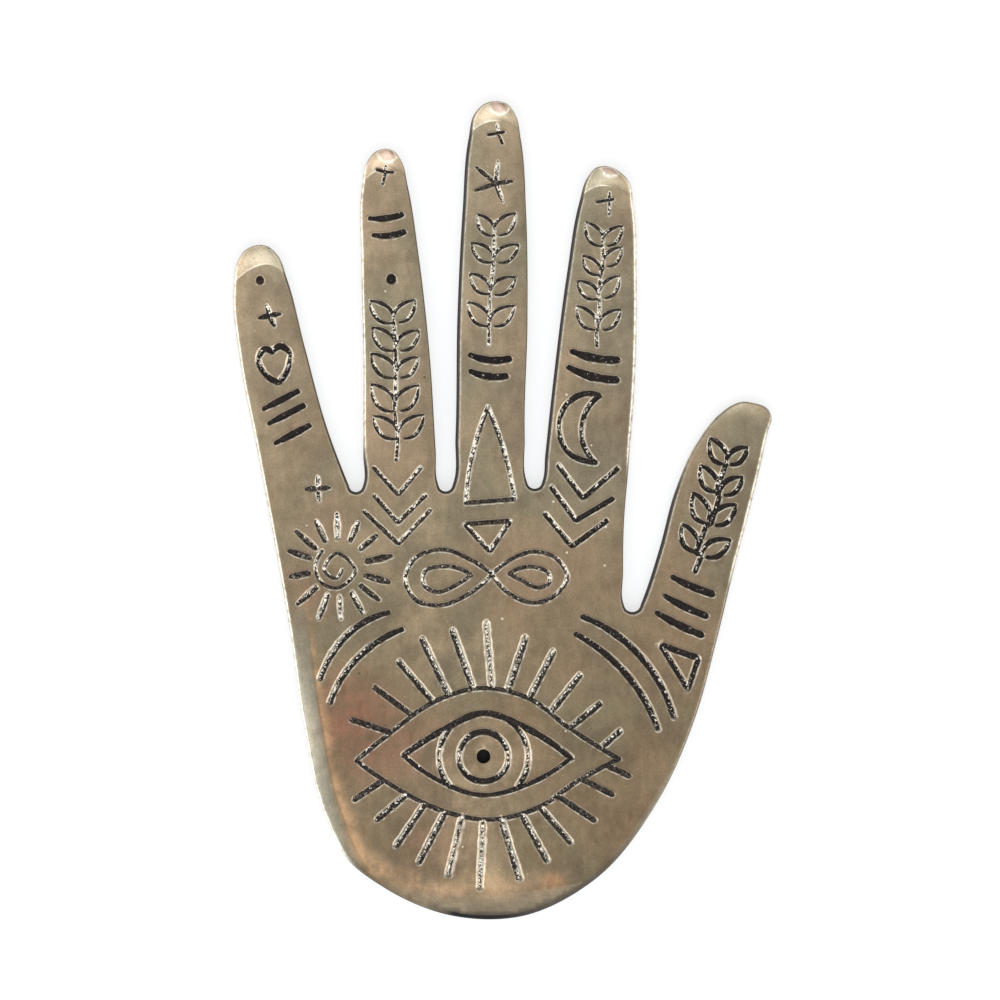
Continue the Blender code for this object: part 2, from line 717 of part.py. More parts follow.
def all_signs():
    """Each sign's name with its strokes. The strokes of one sign run into each other."""
    signs = {}
    for name, (frame, *bars) in BARS.items():
        for n, one in enumerate(bars, 1):
            signs[f"{name}_bar_{n}"] = bar(frame, *one)
    for name, (frame, *chevrons) in CHEVRONS.items():
        for n, points in enumerate(chevrons, 1):
            signs[f"{name}_chevron_{n}"] = [Stroke([frame.at(*p) for p in points], LINE_WIDTH)]
    for name, (frame, *corners) in TRIANGLES.items():
        signs[f"{name}_triangle"] = [Stroke([frame.at(*p) for p in corners], LINE_WIDTH, True)]
    sides = [curve(MIDDLE, (TENT_POINT, *side), LINE_WIDTH) for side in (TENT_LEFT, TENT_RIGHT)]
    signs["middle_tent"] = sides + lines(MIDDLE, (TENT_LEFT[-1], TENT_RIGHT[-1]), LINE_WIDTH)
    for name, (frame, middle, *ends) in STARS.items():
        signs[name] = [s for end in ends for s in lines(frame, (middle, end), LINE_WIDTH)]
    for name, (frame, middle, radius) in DOTS.items():
        signs[name] = [Stroke([frame.at(*middle)], 2 * radius)]
    for name, (frame, foot, *leaves) in SPRIGS.items():
        signs[f"{name}_sprig"] = sprig(frame, foot, *leaves)
    signs["little_heart"] = [curve(LITTLE, half, LINE_WIDTH) for half in (HEART_LEFT, HEART_RIGHT)]
    signs["index_moon"] = [curve(INDEX, half, LINE_WIDTH) for half in (MOON_OUTER, MOON_INNER)]
    signs["sun_spiral"] = sun_spiral()
    for n, ray in enumerate(RAYS, 1):
        signs[f"sun_ray_{n}"] = sun_ray(*ray)
    for name, points in ARCS.items():
        signs[f"{name}_arc"] = [curve(PALM, points, BAR_WIDTH)]
    signs["infinity_loops"] = [curve(PALM, (*loop, loop[0]), LINE_WIDTH) for loop in INFINITY_LOOPS]
    for name, points in INFINITY_DROPS.items():
        signs[f"infinity_drop_{name}"] = [curve(PALM, (*points, points[0]), LINE_WIDTH)]
    signs["eye_lids"] = eye_lids()
    signs["eye_almond"] = eye_almond()
    ring = arc(PALM.at(*IRIS_MIDDLE), PUPIL_RING_RADIUS, 0, 360, RING_SIDES)[:-1]
    signs["eye_iris"] = [Stroke(ring, LINE_WIDTH, True)]
    return signs


def stick_hole(collection):
    work = bmesh.new()
    radius = HOLE_DIAMETER / 2 * MM
    tall = HOLE_DEPTH + CUTTER_LIFT
    bmesh.ops.create_cone(
        work, cap_ends=True, segments=HOLE_SIDES, radius1=radius, radius2=radius, depth=tall * MM
    )
    middle = PALM.at(*IRIS_MIDDLE).to_3d()
    middle.z = PLATE_THICKNESS - HOLE_DEPTH + tall / 2
    bmesh.ops.translate(work, verts=work.verts, vec=middle * MM)
    return new_object("stick_hole_cutter", work, collection)


def cut_away(plate, cutter):
    cut = plate.modifiers.new(cutter.name, "BOOLEAN")
    cut.operation = "DIFFERENCE"
    cut.solver = "EXACT"
    cut.object = cutter
    cutter.hide_render = True
    cutter.display_type = "WIRE"


def main():
    clear_scene()
    parts = new_collection("hand_incense_holder")
    cutters = new_collection("cutters")
    brass = new_material("antique_brass", BRASS_COLOUR, 1.0, 0.35)
    lacquer = new_material("black_lacquer", LACQUER_COLOUR, 0.0, 0.4)
    plate = hand_plate(parts, brass)
    floor = PLATE_THICKNESS - GROOVE_DEPTH
    signs = all_signs()
    grooves = bmesh.new()
    for name, sign in signs.items():
        add_prism(grooves, sign, 0, floor, PLATE_THICKNESS + CUTTER_LIFT)
        fill = bmesh.new()
        add_prism(fill, sign, LACQUER_SIDE_GAP, floor + LACQUER_FLOOR_GAP, PLATE_THICKNESS - LACQUER_DROP)
        new_object(name, fill, parts, lacquer)
    cut_away(plate, new_object("groove_cutter", grooves, cutters))
    cut_away(plate, stick_hole(cutters))


main()
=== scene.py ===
"""The hand incense holder, dressed: cast antique brass, worn engraving, black lacquer, and the studio.

Plan sizes are in millimetres on the part's own drawing: fingers along +Y, thumb at +X. A finger's own
frame is (across, down): right of its axis, and below its tip. A value named FADE is where something sets
in and the span it takes, one named BELL is where it is strongest and how far it spreads, and one named
NOISE is a noise's scale and its seed.
"""

import math
from typing import NamedTuple

import bpy
import numpy as np
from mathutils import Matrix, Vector, noise
from mathutils.geometry import delaunay_2d_cdt
from mathutils.kdtree import KDTree


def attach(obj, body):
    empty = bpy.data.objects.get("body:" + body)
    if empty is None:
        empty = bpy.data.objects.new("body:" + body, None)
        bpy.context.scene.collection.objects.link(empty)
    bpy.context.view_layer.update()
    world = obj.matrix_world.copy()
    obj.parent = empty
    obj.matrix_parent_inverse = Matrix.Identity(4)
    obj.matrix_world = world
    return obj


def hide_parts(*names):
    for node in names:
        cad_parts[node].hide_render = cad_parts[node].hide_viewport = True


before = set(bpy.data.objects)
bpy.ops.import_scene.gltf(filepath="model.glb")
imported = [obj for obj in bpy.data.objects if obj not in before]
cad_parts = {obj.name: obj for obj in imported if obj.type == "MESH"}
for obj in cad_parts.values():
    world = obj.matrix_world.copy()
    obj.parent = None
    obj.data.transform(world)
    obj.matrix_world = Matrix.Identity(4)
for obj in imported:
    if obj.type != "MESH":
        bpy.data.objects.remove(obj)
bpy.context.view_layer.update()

MM = 0.001

# The plate
PLATE_THICKNESS = 2.6
FOOT_ROUND = 0.6
FOOT_STEPS = 4
EDGE_INSET = 0.06
NOTCH_STEPS = 4

# The brow, which turns from the wall to a crease on the face: its width in plan where it has no painted
# highlight, where it has one on the left and on the right, how much wider it is where shade is painted on
# it, how far it turns in degrees, and the rings that keep its crease crisp
BROW_WIDTHS = (0.3, 0.5, 0.58)
SHADE_SIDE_BROW = 0.42
BROW_TURN = 65.0
BROW_STEPS = 7
BROW_RINGS = (0.07, 0.3)

# How bright the painted highlight on each finger's left and right edges is, and how far down the left one
# stays so
HIGHLIGHT_EDGES = ((0.8, 0.0, 60), (0.9, 0.0, 60), (0.0, 0.0, 60), (0.0, 0.9, 60), (0.5, 0.75, 14))
HIGHLIGHT_SPAN = 8.0
FINGER_MARGIN = 0.8

# The same for the palm's left and right edges, which get no painted highlight where another edge lies within
# reach
HIGHLIGHT_PALM = (0.85, 0.25)
GAP_REACHES = (2.5, 4.0, 5.5, 7.0, 9.0, 11.0)
GAP_CLEAR = 0.3

# Which edges face the heel's end and which ones get painted shade, and over how many points each way this
# blurs
HEEL_FADE = (0.45, 0.4)
SHADE_SIDE_FADE = (0.2, 0.4)
BLUR = 6

# Painted light on the side: how bright the painted highlights on the edges, their creases, the creases of
# edges in painted shade and the tips' edges are, how dark that painted shade is, what keeps clear of the
# painted shade on the walls, and the powers of the brow's turn by which these come and go
EDGE_HIGHLIGHT = 1.0
CREASE_HIGHLIGHT = 0.35
CREASE_POWER = 6
CREASE_BELL = (0.0, 0.08)
SHADE_SIDE_EDGE = 0.85
SHADE_SIDE_CREASE = 0.75
SHADE_SIDE_POWER = 12
TIP_EDGE = 0.7
TIP_POWER = 2
DENT_POWER = 4
SIDE_SHADE_POWER = 6
SIDE_SHADE_CUT = 1.5
TIP_UNSHADED = 0.7

# Painted light on the grooves: the side on which their rims get a painted highlight, how much and in which
# patches, the painted highlight on the bare walls of steep grooves, and the painted shade on the rims, faint
# all round and strongest on upper rims
HIGHLIGHT_SIDE = (0.37, -0.93)
FACING_HIGHLIGHT = (0.3, 0.7)
PATCH_HIGHLIGHT = (0.65, 1.1)
PATCH_NOISE = (0.8, 2.3)
RIM_BELL = (0.05, 0.1)
WALL_HIGHLIGHT = 0.5
WALL_FADE = (0.0, 0.12)
GROOVE_RIM_SHADE = 0.1
GROOVE_RIM_SHADE_BELL = (0.02, 0.1)

# The unevenness of the casting
UNEVEN = 0.02
UNEVEN_NOISE = (7.0, 0.5)

# The curled fingertips: a crease that bows down towards the finger's sides, with a small step, then the
# curl. The row of a finger's widths that says how wide its crease is, and how many such widths its tip
# reaches aside
TIP_BAND = 3.7
TIP_BOW = 2.6
TIP_WIDTHS = 2
TIP_REACH = 2.0
TIP_STEP = 0.085
TIP_STEP_SHARE = 0.05
TIP_ROWS = (-0.12, -0.02, 0.08, 0.2, 0.4)
TIP_ROWS_REACH = 1.2
TIP_SLOPE = 0.6
TIP_CURL = 0.95

# The painted highlight line along a fingertip's crease, the painted shade to the right of it, and how far
# past a tip or a crease points are looked at
TIP_LINE_HIGHLIGHT = 0.5
TIP_LINE_BELL = (0.04, 0.09)
TIP_MARGIN = 1.0
TIP_SOFT_FADE = (-0.3, 0.7)
TIP_SHADE_FADE = (-0.2, 1.0)
TIP_RISE_FADE = (0.0, 0.5)
LITTLE_TIP_SHADE = 0.3

# The shade across a finger: how much it grows with the share of the way to its side and with that share
# cubed, the light below the tip, and how it runs out at the root
SIDE_SHADES = (0.05, 0.17)
SIDE_REACH = 1.2
TIP_LIGHT = 0.4
TIP_GLOW = 2.2
ROOT_SPAN = 9.0
PLAIN_SHADE = 0.5

# The scooped ends of three fingertips: how deep they dip, the painted pink reflection in them, the painted
# highlight along their rims, and the share given outside them
NAIL_SCOOP = 0.1
PINK_REFLECTION_FADE = (0.0, 0.12)
NAIL_RIM_HIGHLIGHT = 0.7
NAIL_BELL = (-0.08, 0.09)
NO_NAIL = -9.0

# The raised rim round the heel, which runs out further up on the left than on the right: its width at places
# across the hand, its height, where it starts, its shade on the left, and the glow along its inner edge
RIM_PLACES = (-34.0, -30.0, -27.0, -24.3, -18.0, -10.0, -4.0, 4.0, 10.0, 15.0)
RIM_WIDTHS = (3.35, 3.1, 2.6, 1.4, 2.2, 4.0, 5.0, 4.6, 3.0, 1.2)
RIM_HEIGHT = 0.45
RIM_HEIGHT_SHARE = 0.25
RIM_ROWS = (-0.5, -0.14, 0.1)
RIM_ROUNDS = 4
RIM_STEEP = 0.45
RIM_SHARP = 0.5
RIM_SHADE_PLACES = (-30.0, -22.0)
RIM_SHADES = (-0.5, 0.85)
HEEL_START_LEFT = -12.0
HEEL_START_RIGHT = -38.0
HEEL_SPAN = 24.0
HEEL_MIDDLE = -2.6
GLOW_PLACES = (-34.0, -25.0, -8.0, 6.0, 14.0)
GLOW_REACHES = (0.6, 1.7, 2.0, 1.8, 0.8)
GLOW_STRENGTHS = (0.8, 1.0, 1.0, 0.9, 0.0)
GLOW_OFFSET = 0.35

# The painted shade line along the heel's lowest edge: its strength at places across the hand, width and
# softness
LINE_PLACES = (-14.0, -9.0, 0.0, 6.0, 16.0, 24.0)
LINE_STRENGTHS = (0.0, 1.0, 1.0, 0.8, 0.65, 0.0)
HEEL_LINE_WIDTH = 0.95
HEEL_LINE_SOFT = 0.35

# The blind stick hole in the eye's pupil
HOLE_RADIUS = 1.25
HOLE_DEPTH = 2.0
HOLE_TAPER = 0.97
HOLE_LIP = 0.12
HOLE_RINGS = (0, 0.5, 1)
HOLE_CLEAR = 0.1
HOLE_SIDES = 48

# The engraved grooves: how the rim rounds over, how steep the wall runs on, how deep it can get, and how the
# width wavers and thins to the ends
GROOVE_DEPTH = 0.9
RIM_OUT = 0.05
RIM_BEND = 6.0
WALL_SLOPE = 0.85
GROOVE_WOBBLE = 0.13
WOBBLE_NOISE = (1.6, 3.1)
WOBBLE_FINE_NOISE = (0.5, 7.7)
WOBBLE_FINE = 0.6
END_REACH = 0.4

# The widths of the signs' lines, how thin they are at their ends, and the forms of bars, lashes and leaves
BAR_WIDTH = 1.6
BAR_END = 0.45
BAR_THIN = (0.72, 0.92)
ARC_WIDTH = 1.45
LASH_WIDTH = 1.7
LASH_SHORT = 0.3
LASH_FLAT = 0.62
LINE_WIDTH = 1.25
LID_LINE_WIDTH = 1.08
BROW_LINE_WIDTH = 1.45
LOW_LINE_WIDTH = 1.05
IRIS_LINE_WIDTH = 1.4
STAR_WIDTH = 1.3
STAR_THIN = (1.0, 0.62)
RAY_GROOVE = 1.55
RAY_THIN = (0.85, 0.68)
DOT_GROWTH = 0.98
LEAF_LINE_WIDTH = 0.86
LEAF_THIN = (0.72, 0.66)
LEAF_FATNESS = 0.24
LEAF_TAPER = 0.8
LEAF_LOW = 0.35
LEAF_HIGH = 0.7
LEAF_OPEN = 0.14
LEAF_OPEN_ASIDE = 0.5
SCRATCH_WIDTH = 0.75


class Look(NamedTuple):
    """How a sign differs from these widths, how worn its lacquer is, and how far it was wiped out of its
    steep lines."""

    width: float = 1.0
    worn: float = 0.2
    wiped: float = 1.0


# Looks by the start of the signs' names
LOOKS = {
    "little_bar": Look(0.92, 0.1),
    "ring_bar": Look(0.9, 0.1),
    "middle_bar": Look(1.04, 0.0),
    "index_bar": Look(1.12, 0.05),
    "thumb_bar": Look(1.0, 0.1),
    "little_heart": Look(1.12, 0.1, 0.75),
    "ring_sprig": Look(1.05, 0.32),
    "middle_sprig": Look(0.97, 0.38),
    "index_sprig": Look(0.97, 0.36),
    "thumb_sprig": Look(1.45, 0.1, 0.72),
    "thumb_triangle": Look(1.15, 0.15, 0.65),
    "middle_tent": Look(0.84, 0.6),
    "middle_triangle": Look(0.88, 0.55),
    "middle_star": Look(0.8, 0.6),
    "ring_chevron": Look(0.8, 0.55),
    "index_moon": Look(1.05, 0.15, 0.65),
    "infinity": Look(0.76, 0.75),
    "sun": Look(0.96, 0.6),
    "eye_lids": Look(0.98, 0.5, 0.95),
    "left_": Look(1.08),
    "right_": Look(1.15, 0.15, 0.65),
    "palm_cross": Look(1.0, 0.5),
    "ring_dot": Look(1.05, 0.0),
}

# The lacquer: its depth below the face by the groove's half-width, how much fuller it lies in grooves that
# run across the hand and emptier in wide steep ones, the coat it leaves on the lower wall of slanting
# grooves, how far it is hidden in the metal where it was wiped away, its lumps and its thickness
LACQUER_HALF_WIDTHS = (0.2, 0.4, 0.8, 1.1)
LACQUER_DROPS = (0.08, 0.18, 0.30, 0.34)
LACQUER_FULL = 0.45
LACQUER_EMPTY = 0.6
STEEP_FADE = (0.42, 0.38)
WIDE_FADE = (0.5, 0.25)
THIN_FADE = (0.4, 0.2)
SLANT_GAIN = 2.6
LACQUER_COAT = 0.05
COAT_EDGE = 0.1
COAT_SPAN = 0.3
COAT_LUMPS = 0.5
LACQUER_FALLING = 0.5
FALLING_FADE = (0.6, 0.35)
LACQUER_HIDDEN = 0.1
LACQUER_LEAST = 0.025
LACQUER_TUCK = 0.12
LACQUER_LUMPS = 0.25
LUMP_SHARE = 0.6
LUMP_NOISE = (0.45, 11.3)
FINE_LUMP_NOISE = (0.21, 5.9)
LACQUER_THICKNESS = 0.16

# How fine the meshes are, how far their fields reach, and how near two points may lie
FINE_STEP = 0.06
LEAST_STEPS = 4
IRIS_STEPS = 60
ROW_STEP = 0.36
ROW_EDGES = (0.26, 0.15, 0.05, -0.05, -0.17, -0.3, -0.52)
ROW_LEAST = 0.05
DOT_STEPS = (8, 12)
FAN_STEPS = (2, 7)
FAN_ANGLE = 75
OUTLINE_STEP = 0.5
FACE_STEP = 1.3
TIP_STEP_SIZE = 0.42
HEEL_STEP_SIZE = 0.9
HEEL_MARGIN = 1.7
UNDER_STEP = 3.0
UNDER_CLEAR = 0.4
POINT_GAP = 0.085
SAME_POINT = 1e-5
HEXAGON_HEIGHT = 0.866
FAR = 1e3

# How far the face's points keep from the brow's crease, and from the grooves where they don't shape them:
# the rows along strokes, creases and the heel's rim, then the fields on the tips, the heel and elsewhere
CLEARANCES = ((0.1, None), (0.1, None), (0.5, 0.3), (0.2, 0.3), (0.8, 0.4), (1.0, 0.5))


class Finger(NamedTuple):
    """A finger's root, lean to the right in degrees, length, rows of (down, left width, right width), and
    how much its tip curls."""

    root: tuple
    lean: float
    length: float
    widths: tuple
    curl: float = 1.0

    def axes(self):
        lean = math.radians(self.lean)
        return np.array((math.cos(lean), -math.sin(lean))), np.array((math.sin(lean), math.cos(lean)))

    def at(self, across, down):
        right, along = self.axes()
        return np.array(self.root) + along * (self.length - down) + right * across

    def local(self, points):
        """Points of the plan as arrays of across and down."""
        right, along = self.axes()
        offset = points - self.at(0, 0)
        return offset @ right, -offset @ along

    def half(self, across, down):
        """How wide the finger is on the side on which points lie."""
        rows = np.array(self.widths).T
        return np.where(across < 0, np.interp(down, rows[0], rows[1]), np.interp(down, rows[0], rows[2]))

    def tip_half(self, across):
        """How wide the tip's crease is on the side on which points lie."""
        _, left, right = self.widths[TIP_WIDTHS]
        return np.where(across < 0, left, right)


class Palm:
    """The palm's frame: the plan of the whole hand."""

    def at(self, x, y):
        return np.array((x, y), float)


class Stroke(NamedTuple):
    """One line of a sign: its fine points in plan, its groove's width, whether it runs in a ring, and how
    thin it is at its two ends."""

    points: np.ndarray
    width: float
    closed: bool = False
    ends: tuple = (1.0, 1.0)


LITTLE = Finger(
    (-36.5, 5.2), -10.5, 44.0,
    ((0.5, 2.9, 1.35), (2.4, 4.75, 2.85), (7, 6.35, 3.75), (20, 7.6, 4.7), (36, 7.5, 6.1))
)
RING = Finger(
    (-18.8, 5.2), -2.6, 61.0,
    ((0.4, 1.65, 1.55), (2.4, 3.5, 3.0), (7, 4.65, 3.95), (20, 5.35, 5.4), (40, 5.85, 6.65), (56, 6.6, 6.9))
)
MIDDLE = Finger(
    (-2.3, 5.2), 0.8, 69.7,
    ((0.4, 1.7, 2.2), (2.4, 3.75, 3.85), (7, 4.8, 4.95), (20, 5.7, 6.1), (40, 6.4, 6.65), (62, 6.45, 6.45))
)
INDEX = Finger(
    (15.0, 5.2), 3.9, 57.9,
    ((0.4, 1.6, 1.9), (2.4, 3.15, 4.55), (7, 4.3, 5.85), (20, 5.65, 7.3), (40, 6.85, 8.3), (54, 7.4, 8.2))
)
# The straight edge that runs on from the index finger to the thumb's notch
INDEX_EDGE = ((22.5, -3.0), (22.35, -12.0))
THUMB = Finger(
    (33.5, -16.9), 18.4, 38.4,
    ((0.3, 1.3, 3.8), (1.5, 2.9, 4.76), (4, 4.7, 4.95), (10, 6.9, 5.6), (20, 7.9, 6.4), (31, 7.3, 7.1)), 0.4,
)
PALM = Palm()
FINGERS = (LITTLE, RING, MIDDLE, INDEX, THUMB)

# The bottom of the notch to the right of each finger but the thumb: its middle and its radius
NOTCHES = ((-26.9, 4.3, 1.3), (-10.4, 4.4, 1.3), (6.0, 5.0, 1.4), (24.0, -17.5, 1.6))

# The palm's edge from below the thumb, round the heel, to below the little finger
PALM_EDGE = (
    (39.6, -24.3), (35.5, -39.0), (28.9, -53.7), (17.1, -68.4), (3.7, -75.1), (-8.8, -75.1),
    (-21.7, -69.9), (-28.3, -64.8), (-32.2, -57.4), (-36.6, -39.0), (-38.8, -24.3), (-41.2, -10.5),
)

# Bars: the finger, then each bar's two ends and how far its middle sags
BARS = {
    "little": (
        LITTLE,
        ((-5.3, 29.9), (2.3, 27.6), 0.0),
        ((-4.8, 32.7), (2.8, 30.4), 0.0),
        ((-4.3, 36.5), (3.2, 34.2), 0.0),
    ),
    "ring": (RING, ((-3.8, 12.7), (2.9, 12.2), 0.35), ((-3.3, 15.8), (3.2, 15.4), 0.4)),
    "middle": (MIDDLE, ((-4.2, 46.7), (3.7, 47.4), 0.6), ((-4.1, 49.7), (3.2, 50.6), 0.5)),
    "index": (INDEX, ((-4.0, 34.4), (5.2, 35.5), 0.45), ((-4.5, 37.3), (5.2, 39.2), 0.55)),
    "thumb": (
        THUMB,
        ((-3.7, 35.0), (5.0, 35.7), 0.2),
        ((-4.0, 38.7), (5.1, 39.9), 0.2),
        ((-4.4, 42.1), (5.4, 43.5), 0.2),
    ),
}

# Chevrons: the finger, then each one's left end, point and right end
CHEVRONS = {
    "ring": (
        RING,
        ((-4.6, 58.6), (-0.4, 63.7), (3.8, 59.0)),
        ((-4.7, 63.8), (-0.7, 68.8), (4.5, 64.1)),
        ((-6.7, 66.6), (-0.8, 72.7), (5.2, 66.9)),
    ),
    "index": (
        INDEX,
        ((-4.7, 55.6), (0.1, 61.2), (6.0, 55.4)),
        ((-5.7, 59.7), (-0.9, 65.4), (5.5, 61.0)),
        ((-6.5, 64.7), (-1.3, 70.2), (4.7, 65.1)),
    ),
}

TRIANGLES = {
    "middle": (MIDDLE, (-4.4, 77.9), (3.9, 77.2), (0.2, 82.8)),
    "thumb": (THUMB, (-1.4, 47.6), (5.8, 47.7), (5.8, 53.6)),
}

# The tall tent on the middle finger: its point, the middles of its bowed sides and its feet
TENT_POINT = (-0.5, 56.3)
TENT_LEFT = ((-3.2, 65.0), (-4.3, 74.0))
TENT_RIGHT = ((2.8, 65.0), (4.6, 73.2))

# Stars and crosses: the frame, the middle, then the ends of the arms
STARS = {
    "little_star": (LITTLE, (-0.6, 13.1), (-0.8, 11.3), (-2.6, 13.2), (1.3, 13.2), (-0.1, 15.1)),
    "middle_star": (MIDDLE, (0.4, 15.1), (0.7, 11.1), (-3.2, 12.2), (-3.4, 16.5), (3.4, 14.7), (1.7, 18.4)),
    "palm_cross": (PALM, (-33.9, 3.6), (-33.9, 5.7), (-36.1, 3.5), (-31.7, 3.8), (-33.7, 1.4)),
}

# Dots: the finger, the middle and the radius
DOTS = {"little_dot": (LITTLE, (-1.2, 6.4), 1.0), "ring_dot": (RING, (0.1, 24.0), 1.1)}

# Leaf sprigs: the finger, the stem's foot, then each leaf's root on the stem and its tip, from the top down
SPRIGS = {
    "ring": (
        RING, (-0.5, 57.3),
        ((0.2, 32.1), (-4.0, 27.9)), ((0.2, 32.1), (4.3, 28.1)),
        ((0.3, 37.2), (-3.8, 32.8)), ((0.3, 37.2), (4.8, 33.7)),
        ((0.1, 42.2), (-4.2, 37.6)), ((0.1, 42.2), (4.3, 38.6)),
        ((-0.4, 48.4), (-4.4, 43.2)), ((-0.4, 48.4), (4.2, 43.8)),
        ((0.0, 53.4), (-4.3, 49.1)), ((0.0, 53.4), (4.9, 49.3)),
    ),
    "middle": (
        MIDDLE, (-0.5, 44.7),
        ((0.2, 24.8), (-2.9, 20.9)), ((0.2, 24.8), (4.1, 20.6)),
        ((0.2, 29.6), (-3.9, 26.2)), ((0.2, 29.6), (4.7, 26.4)),
        ((-0.4, 35.5), (-4.1, 31.8)), ((-0.4, 35.5), (4.3, 32.4)),
        ((-0.5, 41.4), (-4.4, 37.1)), ((-0.5, 41.4), (4.1, 37.7)),
    ),
    "index": (
        INDEX, (0.8, 33.1),
        ((0.6, 14.8), (-2.8, 10.6)), ((0.6, 14.8), (3.9, 10.8)),
        ((0.9, 18.6), (4.1, 14.7)), ((0.5, 20.1), (-2.9, 16.8)),
        ((0.5, 24.5), (-3.6, 21.5)), ((0.7, 24.5), (4.0, 20.0)),
        ((0.4, 30.2), (-3.4, 26.1)), ((0.8, 30.2), (4.6, 26.2)),
    ),
    "thumb": (
        THUMB, (0.2, 32.7),
        ((-0.7, 12.4), (-4.8, 8.7)), ((-0.5, 12.3), (2.1, 8.1)),
        ((-0.7, 17.7), (-4.9, 14.0)), ((0.1, 18.0), (3.0, 13.6)),
        ((-0.5, 23.8), (-4.5, 19.2)), ((0.2, 23.8), (3.5, 18.8)),
        ((-0.7, 29.3), (-4.7, 25.3)), ((0.4, 29.7), (4.5, 25.3)),
    ),
}

# The heart on the little finger: its notch, round one lobe to its point, and back
HEART_LEFT = ((-1.4, 19.7), (-2.8, 19.0), (-4.1, 20.4), (-3.7, 22.9), (-1.3, 25.5))
HEART_RIGHT = ((-1.4, 19.7), (0.2, 19.0), (1.7, 20.3), (1.3, 22.3), (-1.3, 25.5))

# The moon on the index finger, from its upper tip to its lower one
MOON_OUTER = ((1.8, 42.2), (-0.6, 42.0), (-4.2, 44.3), (-5.2, 48.4), (-3.4, 52.7), (1.9, 54.5))
MOON_INNER = ((1.8, 42.2), (-0.5, 45.3), (-0.9, 49.8), (1.9, 54.5))

# The sun on the palm: its spiral as (degrees, radius), and its rays as (degrees, outer radius)
SUN_MIDDLE = (-30.5, -11.4)
SUN_SPIRAL = (
    (127, 4.4), (180, 3.8), (225, 3.5), (270, 3.3), (360, 3.5),
    (450, 3.1), (540, 2.2), (630, 1.5), (720, 1.0),
)
RAY_MIDDLE = (-30.2, -10.9)
RAY_INNER = 5.5
RAYS = (
    (91, 9.7), (66, 8.9), (40, 9.1), (12, 10.0), (-16, 9.7), (-38, 9.5), (-61, 9.5),
    (-87, 9.3), (-111, 9.9), (-138, 9.9), (-169, 8.9), (161, 9.4), (139, 10.0), (115, 9.3),
)

# The two pairs of arcs beside the eye
ARCS = {
    "left_outer": ((-20.9, -19.2), (-26.9, -21.9), (-31.0, -26.2), (-33.5, -31.3)),
    "left_inner": ((-18.4, -22.3), (-23.9, -25.2), (-28.9, -30.2), (-31.7, -35.7)),
    "right_outer": ((14.9, -20.0), (21.7, -23.7), (28.2, -30.7), (31.6, -38.3)),
    "right_inner": ((13.7, -23.2), (19.0, -26.7), (24.8, -32.9), (28.7, -40.5)),
}

# The infinity sign: its two loops from where they cross, and the drop in each loop from its point
INFINITY_LOOPS = (
    (
        (-1.8, -12.1), (-5.7, -9.5), (-11.2, -7.6), (-16.2, -9.4),
        (-17.8, -12.9), (-15.5, -17.1), (-12.0, -17.9), (-5.9, -15.6),
    ),
    (
        (-1.8, -12.1), (1.5, -9.5), (6.1, -8.0), (10.1, -9.3),
        (12.0, -12.5), (9.9, -15.9), (6.3, -17.4), (1.1, -15.5),
    ),
)
INFINITY_DROPS = {
    "left": ((-5.7, -12.2), (-11.2, -10.7), (-14.2, -11.6), (-14.4, -14.0), (-12.1, -15.4), (-8.6, -14.2)),
    "right": ((1.3, -12.0), (6.4, -10.9), (8.6, -12.0), (8.6, -13.8), (6.8, -14.6), (3.7, -13.3)),
}

# The eye: its lids, its inner almond, its iris and its lashes as (tip, root on the lid)
LID_CORNERS = ((-26.8, -46.4), (21.5, -46.1))
UPPER_LID = ((-20.4, -41.2), (-12.7, -35.7), (-3.7, -33.1), (5.2, -35.1), (12.1, -40.2))
LOWER_LID = ((-19.7, -51.3), (-11.4, -55.5), (-2.8, -57.3), (5.7, -55.5), (14.4, -49.9))
ALMOND_CORNERS = ((-18.1, -45.4), (12.7, -45.9))
UPPER_ALMOND = ((-11.4, -41.1), (-3.3, -37.7), (4.2, -40.3))
LOWER_ALMOND = ((-11.4, -50.2), (-3.7, -52.8), (4.2, -51.0))
IRIS_MIDDLE = (-3.4, -45.7)
IRIS_RADIUS = 8.2
IRIS_ARCS = ((137, 221), (-40, 55))
PUPIL_RING_RADIUS = 4.55
UPPER_LASHES = (
    ((-27.6, -38.9), (-20.8, -40.9)), ((-23.3, -33.0), (-16.9, -37.5)), ((-18.8, -28.4), (-12.7, -35.5)),
    ((-14.6, -24.2), (-9.9, -34.0)), ((-9.0, -22.7), (-5.3, -33.3)), ((-2.9, -21.3), (-1.9, -32.9)),
    ((4.2, -24.0), (1.1, -33.1)), ((9.3, -26.5), (5.0, -34.8)), ((14.2, -30.8), (9.0, -37.4)),
    ((17.9, -36.0), (12.7, -40.1)), ((21.6, -41.0), (18.3, -43.8)),
)
LOWER_LASHES = (
    ((-27.1, -53.5), (-21.9, -50.1)), ((-23.0, -57.2), (-18.0, -53.4)), ((-19.4, -61.9), (-14.4, -54.7)),
    ((-15.3, -65.0), (-10.8, -56.8)), ((-9.9, -67.3), (-7.5, -57.5)), ((-4.1, -69.7), (-3.5, -57.8)),
    ((3.2, -67.9), (0.0, -58.0)), ((8.2, -64.6), (3.9, -57.2)), ((12.5, -61.3), (7.4, -55.8)),
    ((16.9, -57.3), (10.7, -53.5)), ((20.2, -52.6), (14.9, -50.2)), ((23.3, -49.2), (19.5, -47.9)),
)

